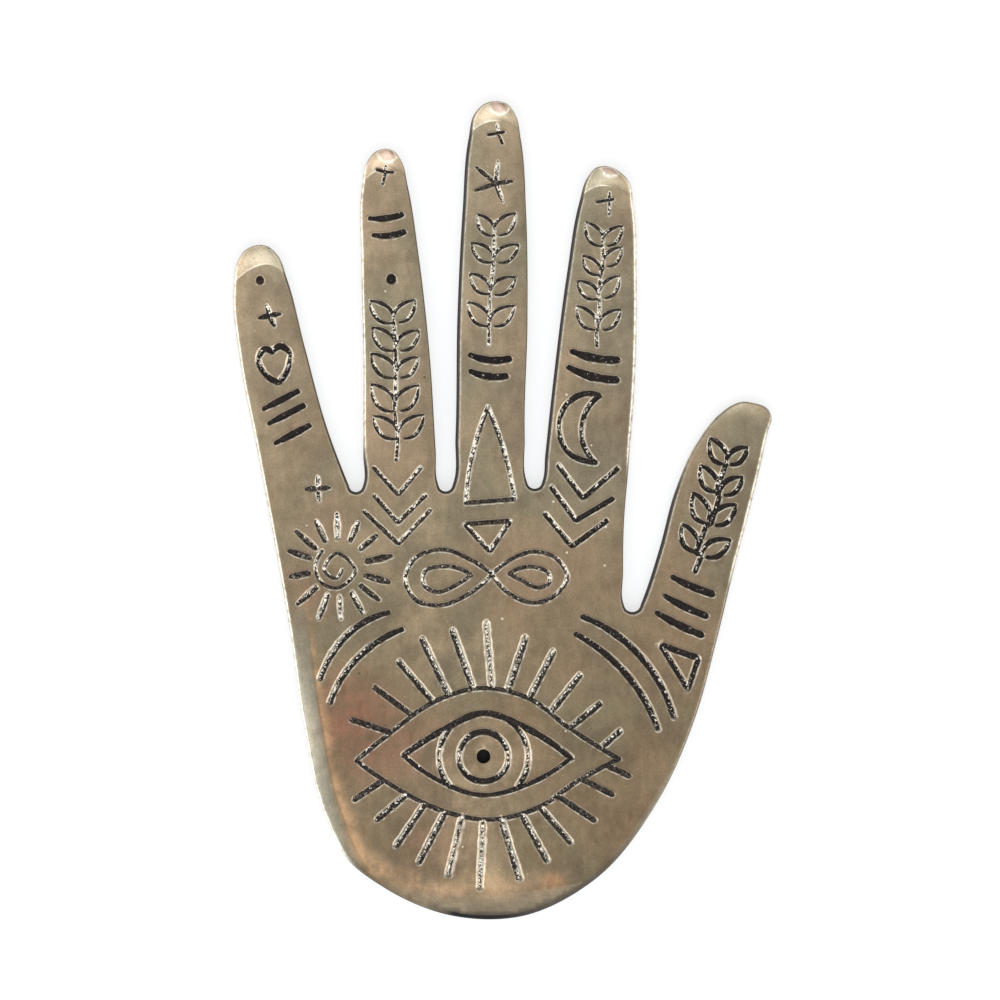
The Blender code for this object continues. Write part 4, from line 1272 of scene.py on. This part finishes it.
def round_side(skin):
    """Adds the hand's side, and returns where its lowest and its highest ring start."""
    # Painted shade on the side walls where they have no painted highlight, less on the tips
    shadowed = (1 - smooth_step(SIDE_SHADE_CUT * EDGE.rubbed)) * (1 - TIP_UNSHADED * EDGE.tip)
    shadowed = np.maximum(shadowed, EDGE.heel)
    starts = []
    for inset, height, dented, rubbed, shade_amount in side_profile():
        ring = EDGE.ring(inset)
        height = height + lift(ring, inset) - dented * dents(ring)
        starts.append(skin.add(ring, height, rubbed, SHADE_SIDE_EDGE * shade_amount * EDGE.in_shade, inset, shade_amount * shadowed))
    for low, high in zip(starts, starts[1:]):
        skin.band(low, high, len(EDGE.loop))
    return starts[0], starts[-1]


def engraved_face(skin, crease_ring):
    """Adds the face inside the brow's crease, down to the stick hole. Returns what the lacquer needs, and
    the heights round the hole."""
    count = len(EDGE.loop)
    rings = [circle(IRIS_MIDDLE, HOLE_RADIUS + HOLE_LIP * t, HOLE_SIDES) for t in HOLE_RINGS]
    points, triangles = fill_loop(EDGE.ring(EDGE.brow), rings, face_points())
    on_hole = (triangles >= count) & (triangles < count + HOLE_SIDES)
    triangles = triangles[~on_hole.all(axis=1)]
    near = GROOVES.measure(points)
    inset = EDGE.inset(points)
    face = PLATE_THICKNESS + lift(points, inset) - dents(points)
    height = face - groove_depth(near.edge) - hole_depth(points)
    # Painted highlights along the brow's crease, round the scooped tips and on the grooves' rims
    crease = CREASE_HIGHLIGHT * EDGE.rubbed + SHADE_SIDE_CREASE * EDGE.in_shade
    crease = crease[EDGE.nearest(points)] * bell(EDGE.room(points), *CREASE_BELL)
    nail_rim_highlight = NAIL_RIM_HIGHLIGHT * bell(nail_share(points), *NAIL_BELL)
    rubbed = np.maximum(np.maximum(rim_highlights(points, near), nail_rim_highlight), crease)
    inner = slice(count, None)
    # Painted shade along the grooves' rims
    stain = groove_rim_shades(near)[inner]
    start = skin.add(points[inner], height[inner], rubbed[inner], inset=inset[inner], stain=stain)
    skin.fill(triangles, crease_ring, start)
    return (points, triangles, near, face), height[count : count + HOLE_SIDES]


def stick_hole(skin, heights):
    """Adds the black well of the stick hole, from the heights round its top."""
    centre = np.array(IRIS_MIDDLE)
    ring = circle(centre, HOLE_RADIUS, HOLE_SIDES)
    floor = PLATE_THICKNESS - HOLE_DEPTH
    lip = skin.add(ring, heights, soot=1.0)
    well = skin.add(centre + (ring - centre) * HOLE_TAPER, floor, soot=1.0)
    middle = skin.add(centre[None], floor, soot=1.0)
    skin.band(well, lip, HOLE_SIDES)
    skin.faces += [(well + i, well + (i + 1) % HOLE_SIDES, middle) for i in range(HOLE_SIDES)]


def underside(skin, foot_ring):
    """Adds the plain underside, with closer points below the curled tips."""
    close = EDGE.field(UNDER_STEP / 3)
    close = close[tip_share(close)[0] > 0]
    spread = thinned([close, EDGE.field(UNDER_STEP)], UNDER_STEP / 4)
    spread = spread[EDGE.inset(spread) > FOOT_ROUND + UNDER_CLEAR]
    under, flat = fill_loop(EDGE.ring(FOOT_ROUND), [], spread)
    inner = slice(len(EDGE.loop), None)
    start = skin.add(under[inner], lift(under, EDGE.inset(under))[inner])
    skin.fill(flat[:, ::-1], foot_ring, start)


def cast_hand(material):
    """The brass hand. Returns what the lacquer needs."""
    skin = Skin()
    foot_ring, crease_ring = round_side(skin)
    engraved, heights = engraved_face(skin, crease_ring)
    stick_hole(skin, heights)
    underside(skin, foot_ring)
    layers = {name: np.concatenate(parts) for name, parts in skin.layers.items()}
    piece = new_piece("cast_hand", np.concatenate(skin.vertices), skin.faces, material, **layers)
    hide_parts("hand_plate")
    return engraved


def lacquer_lie(points, near):
    """How far below the face the lacquer lies, where it is held, and how wiped, thin and worn it is."""
    depth = groove_depth(near.edge)
    steep = steepness(near)
    up = upward(near)
    slant = smooth_step(SLANT_GAIN * np.abs(up[:, 0]) * up[:, 1])
    across = np.clip(np.sum(near.out * up, axis=1) * (near.edge + near.half) / near.half, -1, 1)
    lumps = LUMP_SHARE * roughly(points, *LUMP_NOISE) + LUMP_SHARE * roughly(points, *FINE_LUMP_NOISE)
    fill = np.interp(near.half, LACQUER_HALF_WIDTHS, LACQUER_DROPS)
    wide = fade(near.half, *WIDE_FADE)
    fill *= 1 - LACQUER_FULL * (1 - steep * wide) + LACQUER_EMPTY * steep * wide
    fill *= 1 - LACQUER_LUMPS * lumps
    falls = near.along[:, 0] * near.along[:, 1] < 0
    falling = LACQUER_FALLING * falls * (1 - fade(np.abs(near.along[:, 1]), *FALLING_FADE))
    covered = slant * smooth_step((COAT_LUMPS * lumps - COAT_EDGE + falling - across) / COAT_SPAN)
    coat = depth + LACQUER_HIDDEN - (LACQUER_HIDDEN + LACQUER_COAT) * covered
    drop = np.maximum(np.minimum(fill, coat), LACQUER_LEAST)
    worn = np.array([look_of(name).worn for name in GROOVES.names])[near.sign]
    bare = np.column_stack([steep * (1 - covered), 1 - fade(near.half, *THIN_FADE), worn])
    return drop, depth > LACQUER_TUCK * fill, bare


def lacquer_fills(material, points, triangles, near, face):
    """The lumpy black lacquer in each sign's grooves, a closed skin whose edge is tucked into the walls."""
    drop, held, bare = lacquer_lie(points, near)
    triangles = triangles[held[triangles].all(axis=1)]
    owner = near.sign[triangles[:, 0]]
    for index, name in enumerate(GROOVES.names):
        used, flat = np.unique(triangles[owner == index], return_inverse=True)
        flat = flat.reshape(-1, 3)
        above = np.column_stack([points[used], (face - drop)[used]])
        below = above - np.array((0, 0, LACQUER_THICKNESS))
        sides = {side for a, b, c in flat.tolist() for side in ((a, b), (b, c), (c, a))}
        rim = sorted(side for side in sides if side[::-1] not in sides)
        faces = flat.tolist() + (flat[:, ::-1] + len(used)).tolist()
        faces += [(b, a, a + len(used), b + len(used)) for a, b in rim]
        layer = np.concatenate([bare[used], bare[used]])
        piece = new_piece(f"{name}_lacquer", np.concatenate([above, below]), faces, material, bare=layer)
        if name not in SCRATCHES:
            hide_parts(name)


class Graph:
    """A node tree that is written down as calls."""

    def __init__(self, tree):
        self.tree = tree
        tree.nodes.clear()

    def node(self, kind, inputs=(), **settings):
        made = self.tree.nodes.new(kind)
        for name, value in settings.items():
            setattr(made, name, value)
        for name, value in dict(inputs).items():
            self.put(made.inputs[name], value)
        return made

    def put(self, socket, value):
        if isinstance(value, bpy.types.NodeSocket):
            self.tree.links.new(value, socket)
        else:
            socket.default_value = value

    def math(self, operation, a, b):
        return self.node("ShaderNodeMath", {0: a, 1: b}, operation=operation).outputs[0]

    def times(self, a, b):
        return self.math("MULTIPLY", a, b)

    def plus(self, a, b):
        return self.math("ADD", a, b)

    def vector(self, operation, a, b):
        made = self.node("ShaderNodeVectorMath", {0: a, 1: b}, operation=operation)
        return made.outputs["Value" if operation in ("DOT_PRODUCT", "DISTANCE") else "Vector"]

    def ramp(self, value, low, high, start=0.0, end=1.0):
        """The value's way from low to high, smoothed, between start and end."""
        inputs = {"Value": value, "From Min": low, "From Max": high, "To Min": start, "To Max": end}
        return self.node("ShaderNodeMapRange", inputs, interpolation_type="SMOOTHSTEP").outputs["Result"]

    def mix(self, share, a, b, blend="MIX"):
        made = self.node("ShaderNodeMix", data_type="RGBA", blend_type=blend)
        for socket, value in ((made.inputs[0], share), (made.inputs[6], a), (made.inputs[7], b)):
            self.put(socket, value)
        return made.outputs[2]

    def layer(self, name):
        """The three channels of a mesh's colour layer."""
        read = self.node("ShaderNodeAttribute", attribute_name=name).outputs["Color"]
        return tuple(self.node("ShaderNodeSeparateColor", {0: read}).outputs)

    def bumps(self, *heights):
        """The normal raised by each height in turn, with its strength and its distance in metres."""
        rise = None
        for height, (strength, distance) in heights:
            inputs = {"Strength": strength, "Distance": distance, "Height": height}
            if rise is not None:
                inputs["Normal"] = rise
            rise = self.node("ShaderNodeBump", inputs).outputs[0]
        return rise

    def noise(self, where, scale, detail=3.0, roughness=0.55):
        inputs = {"Vector": where, "Scale": scale, "Detail": detail, "Roughness": roughness}
        return self.node("ShaderNodeTexNoise", inputs).outputs["Fac"]

    def object_place(self):
        return self.node("ShaderNodeTexCoord").outputs["Object"]


def colour(red, green, blue):
    return (red, green, blue, 1.0)


def new_material(name):
    material = bpy.data.materials.new(name)
    material.use_nodes = True
    return material, Graph(material.node_tree)


def shade(graph, inputs):
    """The material's shader and output."""
    shader = graph.node("ShaderNodeBsdfPrincipled", inputs)
    graph.node("ShaderNodeOutputMaterial", {"Surface": shader.outputs[0]})


def place(x, y):
    """A point of the plan, in the row's metres."""
    return ((x - EDGE.middle[0]) * MM, (y - EDGE.middle[1]) * MM, PLATE_THICKNESS * MM)


def brass_tone(g, where, across, along, mottle):
    """The cast metal's colour: clouds, darker towards the heel, tinted places with two painted reflections
    among them, the heel's rim with its painted glow, painted shade on the tips' right, and the painted pink
    reflection in the scooped tips.
    """
    tone = g.mix(g.ramp(g.noise(where, *CLOUDS), *CLOUD_RUN), OLIVE_BRASS, WARM_BRASS)
    tone = g.mix(g.ramp(along, *DARKER_TO_HEEL_RUN, 1.0, 0.0), tone, DARKER_TO_HEEL, "MULTIPLY")
    for spot, radius, strength, tint in TINTS:
        away = g.vector("DISTANCE", where, place(*spot))
        near = g.ramp(away, TINT_CORE * radius * MM, radius * MM, strength, 0.0)
        tone = g.mix(g.times(near, g.ramp(mottle, *TINT_MOTTLE)), tone, tint)
    heel, glow, pink_reflection = g.layer("zones")
    right, _, _ = g.layer("shades")
    rim = g.mix(g.ramp(across, *HEEL_GREEN_RUN), HEEL_PALE, HEEL_GREEN)
    rim = g.mix(g.ramp(across, *HEEL_BROWN_RUN), rim, HEEL_BROWN)
    tone = g.mix(g.times(heel, ZONE_STRENGTH), tone, rim)
    lit = g.mix(g.ramp(across, *GLOW_RUN), GLOW_LEFT, GLOW_LOW)
    tone = g.mix(g.times(glow, g.ramp(mottle, *GLOW_MOTTLE)), tone, lit)
    tone = g.mix(right, tone, TIP_SHADE, "MULTIPLY")
    return g.mix(g.times(pink_reflection, ZONE_STRENGTH), tone, PINK_REFLECTION)


def antique_brass():
    material, g = new_material("antique_brass")
    where = g.object_place()
    # Painted highlight, painted shade with the stick hole's black, and painted shade on the side walls
    rubbed, soot, side_shade = g.layer("highlight_and_shade")
    _, stain, shaded = g.layer("shades")
    brushed = g.noise(g.vector("MULTIPLY", where, BRUSH_STRETCH), *BRUSH)
    smudged = g.noise(g.vector("MULTIPLY", where, SMUDGE_STRETCH), *SMUDGES)
    mottle = g.noise(where, *MOTTLE)
    grain = g.noise(where, *GRAIN)
    across, along, _ = g.node("ShaderNodeSeparateXYZ", {0: where}).outputs
    tone = brass_tone(g, where, across, along, mottle)
    tone = g.mix(g.ramp(smudged, *SMUDGE_RUN), tone, SMUDGE, "MULTIPLY")
    level = g.ramp(brushed, *BRUSH_LEVELS)
    levels = ((grain, GRAIN_LEVELS), (mottle, MOTTLE_LEVELS), (shaded, SHADE_LEVELS), (across, SIDE_LEVELS))
    for value, run in levels:
        level = g.times(level, g.ramp(value, *run))
    grey = g.node("ShaderNodeCombineColor", {0: level, 1: level, 2: level}).outputs[0]
    tone = g.mix(1.0, tone, grey, "MULTIPLY")
    cells = g.node("ShaderNodeTexVoronoi", {"Vector": where, "Scale": PIT_SCALE})
    chance = g.node("ShaderNodeSeparateColor", {0: cells.outputs["Color"]}).outputs
    size = g.ramp(chance[0], *PIT_SIZES)
    pit = g.ramp(g.math("SUBTRACT", size, cells.outputs["Distance"]), *PIT_EDGE)
    pitted = g.mix(g.ramp(chance[1], *PIT_TONES), PIT_DARK, PIT_BRIGHT)
    tone = g.mix(g.times(pit, PIT_STRENGTH), tone, pitted)
    # Painted highlights, in bare brass's colour and in patches
    tone = g.mix(g.times(rubbed, g.ramp(g.noise(where, *HIGHLIGHT_PATCHES), *HIGHLIGHT_PATCHES_RUN)), tone, BARE_BRASS_AND_HIGHLIGHT)
    # Painted shade on the side walls and along the grooves' rims
    for shade_amount, run in ((side_shade, SIDE_SHADE_MOTTLE), (stain, GROOVE_RIM_SHADE_MOTTLE)):
        tone = g.mix(g.times(shade_amount, g.ramp(mottle, *run)), tone, SHADE_BROWN)
    # Painted shade on the edges and the heel's lowest edge, and the stick hole's black well
    tone = g.mix(soot, tone, SHADE_AND_HOLE_BLACK)
    roughness = g.plus(g.ramp(brushed, *BRUSH_ROUGHNESS), g.ramp(mottle, *MOTTLE_ROUGHNESS))
    roughness = g.plus(roughness, g.times(soot, SHADE_AND_HOLE_ROUGHNESS))
    hollow = g.times(pit, -1.0)
    rise = g.bumps((brushed, BRUSH_BUMP), (grain, GRAIN_BUMP), (mottle, MOTTLE_BUMP), (hollow, PIT_BUMP))
    metallic = g.ramp(soot, *SHADE_AND_HOLE_METAL)
    shade(g, {"Base Color": tone, "Metallic": metallic, "Roughness": roughness, "Normal": rise})
    return material


def black_lacquer():
    material, g = new_material("black_lacquer")
    where = g.object_place()
    wiped, thin, faded = g.layer("bare")
    coarse = g.noise(where, *COARSE)
    fine = g.noise(where, *FINE)
    patchy = g.plus(g.times(coarse, COARSE_SHARE), g.times(fine, 1 - COARSE_SHARE))
    worn = g.math("SUBTRACT", g.times(wiped, WIPED_FLECKS), g.times(thin, THIN_FLECKS))
    worn = g.plus(worn, g.times(faded, FADED_FLECKS))
    fleck = g.ramp(g.plus(patchy, worn), *FLECK_EDGE)
    tone = g.mix(g.ramp(coarse, *BROWN_RUN), LACQUER_BLACK, LACQUER_BROWN)
    tone = g.mix(g.times(faded, g.ramp(g.noise(where, *FADING), *FADED_RUN)), tone, LACQUER_FADED)
    tone = g.mix(fleck, tone, BARE_BRASS_AND_HIGHLIGHT)
    inputs = {
        "Base Color": tone,
        "Metallic": fleck,
        "Roughness": g.ramp(fine, *LACQUER_ROUGHNESS),
        "Specular IOR Level": LACQUER_SHEEN,
        "Normal": g.bumps((coarse, COARSE_BUMP), (fine, FINE_BUMP)),
    }
    shade(g, inputs)
    return material


def studio_floor():
    material, g = new_material("studio_floor")
    tone = g.mix(g.noise(g.object_place(), FLOOR_CLOUDS), FLOOR_WHITE, FLOOR_SHADE)
    rays = g.node("ShaderNodeLightPath").outputs
    seen = g.math("MAXIMUM", rays["Is Camera Ray"], rays["Is Glossy Ray"])
    seen = g.math("MAXIMUM", seen, rays["Is Transmission Ray"])
    glow = g.times(seen, FLOOR_GLOW)
    inputs = {"Base Color": tone, "Roughness": FLOOR_ROUGHNESS, "Specular IOR Level": 0.0}
    shade(g, {**inputs, "Emission Color": colour(1, 1, 1), "Emission Strength": glow})
    mesh = bpy.data.meshes.new("studio_floor")
    half = FLOOR_SIZE / 2
    corners = [(-half, -half, 0), (half, -half, 0), (half, half, 0), (-half, half, 0)]
    mesh.from_pydata(corners, [], [(0, 1, 2, 3)])
    mesh.materials.append(material)
    floor = bpy.data.objects.new("studio_floor", mesh)
    floor.location.z = -FLOOR_DROP
    bpy.context.scene.collection.objects.link(floor)


def studio_light():
    """A soft studio all round: brighter overhead than at the horizon, with softboxes in front and aside."""
    world = bpy.data.worlds.new("studio")
    bpy.context.scene.world = world
    world.use_nodes = True
    g = Graph(world.node_tree)
    way = g.node("ShaderNodeTexCoord").outputs["Generated"]
    up = g.vector("DOT_PRODUCT", way, (0, 0, 1))
    north = g.vector("DOT_PRODUCT", way, (0, 1, 0))
    light = g.mix(g.ramp(up, *ZENITH_RUN), HORIZON, ZENITH)
    light = g.mix(g.ramp(north, *NORTH_RUN), light, NORTH_SHADE, "MULTIPLY")
    for heading, height, inner, outer, tone in SOFTBOXES:
        turn, rise = math.radians(heading), math.radians(height)
        aim = (math.sin(turn) * math.cos(rise), math.cos(turn) * math.cos(rise), math.sin(rise))
        facing = g.vector("DOT_PRODUCT", way, aim)
        share = g.ramp(facing, math.cos(math.radians(outer)), math.cos(math.radians(inner)))
        light = g.mix(share, light, colour(*tone))
    sky = g.node("ShaderNodeBackground", {"Color": light, "Strength": 1.0})
    g.node("ShaderNodeOutputWorld", {"Surface": sky.outputs[0]})


def studio_camera():
    camera = bpy.data.objects.new("camera", bpy.data.cameras.new("camera"))
    x, y, _ = place(*PHOTO_MIDDLE)
    camera.location = (x, y, CAMERA_HEIGHT)
    camera.data.sensor_width = SENSOR_WIDTH
    camera.data.lens = SENSOR_WIDTH * (CAMERA_HEIGHT - PLATE_THICKNESS * MM) / PHOTO_WIDTH
    camera.data.clip_start, camera.data.clip_end = CAMERA_CLIP
    bpy.context.scene.collection.objects.link(camera)
    bpy.context.scene.camera = camera


# Colours, as they are seen in plain white light
OLIVE_BRASS = colour(0.305, 0.262, 0.175)
WARM_BRASS = colour(0.365, 0.274, 0.180)
DARKER_TO_HEEL = colour(0.72, 0.67, 0.62)
COPPER_TINT = colour(0.260, 0.135, 0.087)
COPPER_LIGHT = colour(0.345, 0.225, 0.15)
DARK_TINT = colour(0.270, 0.225, 0.150)
LIGHT_TINT = colour(0.385, 0.290, 0.185)
# The next two: painted reflections of warm light where the heel's rim rises
GOLD_REFLECTION = colour(0.78, 0.56, 0.30)
ORANGE_REFLECTION = colour(0.50, 0.24, 0.11)
GLOW_LEFT = colour(0.57, 0.36, 0.20)
GLOW_LOW = colour(0.53, 0.36, 0.215)
HEEL_GREEN = colour(0.25, 0.235, 0.175)
HEEL_PALE = colour(0.38, 0.36, 0.28)
HEEL_BROWN = colour(0.40, 0.335, 0.24)
# A painted pink reflection in the scooped fingertips
PINK_REFLECTION = colour(0.33, 0.235, 0.178)
TIP_SHADE = colour(0.72, 0.71, 0.68)
SMUDGE = colour(0.72, 0.64, 0.58)
# Painted shade on the side walls and along the grooves' rims
SHADE_BROWN = colour(0.055, 0.045, 0.035)
# Bare brass, for the lacquer's worn flecks and for painted highlights
BARE_BRASS_AND_HIGHLIGHT = colour(0.90, 0.85, 0.73)
PIT_DARK = colour(0.08, 0.06, 0.04)
PIT_BRIGHT = colour(0.75, 0.68, 0.52)
# Black for painted shade on edges and the heel's line, and for the stick hole's well
SHADE_AND_HOLE_BLACK = colour(0.006, 0.005, 0.005)
LACQUER_BLACK = colour(0.006, 0.005, 0.005)
LACQUER_BROWN = colour(0.022, 0.015, 0.013)
LACQUER_FADED = colour(0.12, 0.095, 0.07)
FLOOR_WHITE = colour(0.32, 0.32, 0.32)
FLOOR_SHADE = colour(0.31, 0.31, 0.309)

# Noises of the brass and the lacquer: scale, detail and roughness, and how two of them are stretched
BRUSH = (800, 4)
BRUSH_STRETCH = (1, 0.3, 1)
SMUDGES = (330, 4, 0.6)
SMUDGE_STRETCH = (1, 0.5, 1)
CLOUDS = (45, 4)
MOTTLE = (170, 5, 0.62)
GRAIN = (3000, 3, 0.7)
HIGHLIGHT_PATCHES = (1100, 3)
COARSE = (1900, 4, 0.7)
FINE = (5200, 3, 0.7)
FADING = (2600, 4, 0.7)

# How these noises act: between which of their values, and from which strength to which
CLOUD_RUN = (0.36, 0.64)
TINT_MOTTLE = (0.34, 0.62, 0.4, 1.0)
GLOW_MOTTLE = (0.35, 0.6, 0.45, 0.95)
SIDE_SHADE_MOTTLE = (0.3, 0.6, 0.55, 0.95)
GROOVE_RIM_SHADE_MOTTLE = (0.3, 0.6, 0.6, 0.95)
SMUDGE_RUN = (0.58, 0.74, 0.0, 0.55)
HIGHLIGHT_PATCHES_RUN = (0.3, 0.6, 0.3, 1.0)
BRUSH_LEVELS = (0.3, 0.7, 0.97, 1.02)
GRAIN_LEVELS = (0.3, 0.7, 0.89, 1.11)
MOTTLE_LEVELS = (0.3, 0.66, 0.77, 1.14)
SHADE_LEVELS = (0.0, 1.0, 1.26, 0.74)
BRUSH_ROUGHNESS = (0.25, 0.75, 0.22, 0.32)
MOTTLE_ROUGHNESS = (0.3, 0.7, 0.05, -0.03)
SHADE_AND_HOLE_ROUGHNESS = 0.5
SHADE_AND_HOLE_METAL = (0.2, 0.8, 1.0, 0.0)
ZONE_STRENGTH = 0.8
TINT_CORE = 0.15

# Pits: how many there are, which of them show and how large, their edges, and which are dark or bright
PIT_SCALE = 420.0
PIT_SIZES = (0.6, 1.0, 0.0, 0.11)
PIT_EDGE = (0.0, 0.03)
PIT_TONES = (0.4, 0.6)
PIT_STRENGTH = 0.8

# Bumps: strength, and distance in metres
BRUSH_BUMP = (0.04, 0.00005)
GRAIN_BUMP = (0.2, 0.00005)
MOTTLE_BUMP = (0.12, 0.0004)
PIT_BUMP = (0.5, 0.00006)
COARSE_BUMP = (0.6, 0.0001)
FINE_BUMP = (0.4, 0.00004)

# The lacquer's flecks of bare metal, more where it is wiped or faded and fewer in thin lines, and its sheen
COARSE_SHARE = 0.75
WIPED_FLECKS = 0.12
THIN_FLECKS = 0.015
FADED_FLECKS = 0.05
FLECK_EDGE = (0.62, 0.68)
BROWN_RUN = (0.35, 0.75)
FADED_RUN = (0.44, 0.6)
LACQUER_ROUGHNESS = (0.3, 0.7, 0.3, 0.5)
LACQUER_SHEEN = 0.1

# Where colours change along and across the hand, in metres
DARKER_TO_HEEL_RUN = (-0.055, 0.05)
HEEL_GREEN_RUN = (-0.033, -0.027)
HEEL_BROWN_RUN = (-0.024, -0.014)
GLOW_RUN = (-0.026, -0.012)
# Painted shade: the hand lighter on its left and darker on its right
SIDE_LEVELS = (-0.045, 0.045, 1.05, 0.91)

# Tinted places on the hand: the middle in plan, the radius, the strength and the tint
TINTS = (
    ((-34.0, -15.0), 9.0, 0.45, COPPER_TINT),
    ((-17.0, -8.0), 13.0, 0.6, LIGHT_TINT),
    ((-13.0, -25.0), 11.0, 0.6, LIGHT_TINT),
    ((-28.0, -40.0), 15.0, 1.0, COPPER_TINT),
    ((-14.0, -45.0), 13.0, 0.6, COPPER_TINT),
    ((-13.0, -62.0), 13.0, 0.6, COPPER_TINT),
    # The next two: painted reflections of warm light where the heel's rim rises
    ((-3.3, -68.8), 5.0, 0.8, GOLD_REFLECTION),
    ((9.4, -69.6), 3.4, 0.85, ORANGE_REFLECTION),
    ((-5.0, -50.0), 17.0, 0.7, LIGHT_TINT),
    ((-6.0, -66.0), 12.0, 0.6, LIGHT_TINT),
    ((-33.0, -3.0), 9.0, 0.5, COPPER_LIGHT),
    ((-2.0, -28.0), 9.0, 0.5, LIGHT_TINT),
    ((19.0, 8.0), 17.0, 0.9, DARK_TINT),
    ((40.0, -2.0), 14.0, 0.8, DARK_TINT),
    ((-44.0, 27.0), 12.0, 0.5, DARK_TINT),
    ((-21.0, 32.0), 9.0, 0.5, DARK_TINT),
)

# The studio: light levels, and softboxes as heading from +Y, height, inner and outer radius in degrees,
# and level
HORIZON = colour(0.22, 0.22, 0.22)
ZENITH = colour(0.95, 0.95, 0.95)
ZENITH_RUN = (0.0, 0.8)
NORTH_SHADE = colour(0.8, 0.82, 0.8)
NORTH_RUN = (0.2, 0.9)
SOFTBOXES = (
    (180, 50, 16, 32, (2.35, 2.5, 2.75)),
    (112, 14, 24, 44, (2.3, 2.3, 2.3)),
    (248, 14, 24, 44, (2.4, 2.4, 2.4)),
    (180, 2, 10, 26, (0.6, 0.5, 0.45)),
)
FLOOR_SIZE = 12.0
FLOOR_DROP = 0.00005
FLOOR_CLOUDS = 60
FLOOR_ROUGHNESS = 0.9
FLOOR_GLOW = 0.68

# The camera looks straight down: the plan's point in its middle, and the width of the view in metres
PHOTO_MIDDLE = (-0.368, 1.472)
PHOTO_WIDTH = 0.184
CAMERA_HEIGHT = 1.6
CAMERA_CLIP = (0.1, 100)
SENSOR_WIDTH = 36.0

EDGE = Edge()
GROOVES = Grooves(all_signs())
lacquer_fills(black_lacquer(), *cast_hand(antique_brass()))
studio_floor()
studio_light()
studio_camera()
bpy.context.scene.view_settings.view_transform = "Standard"
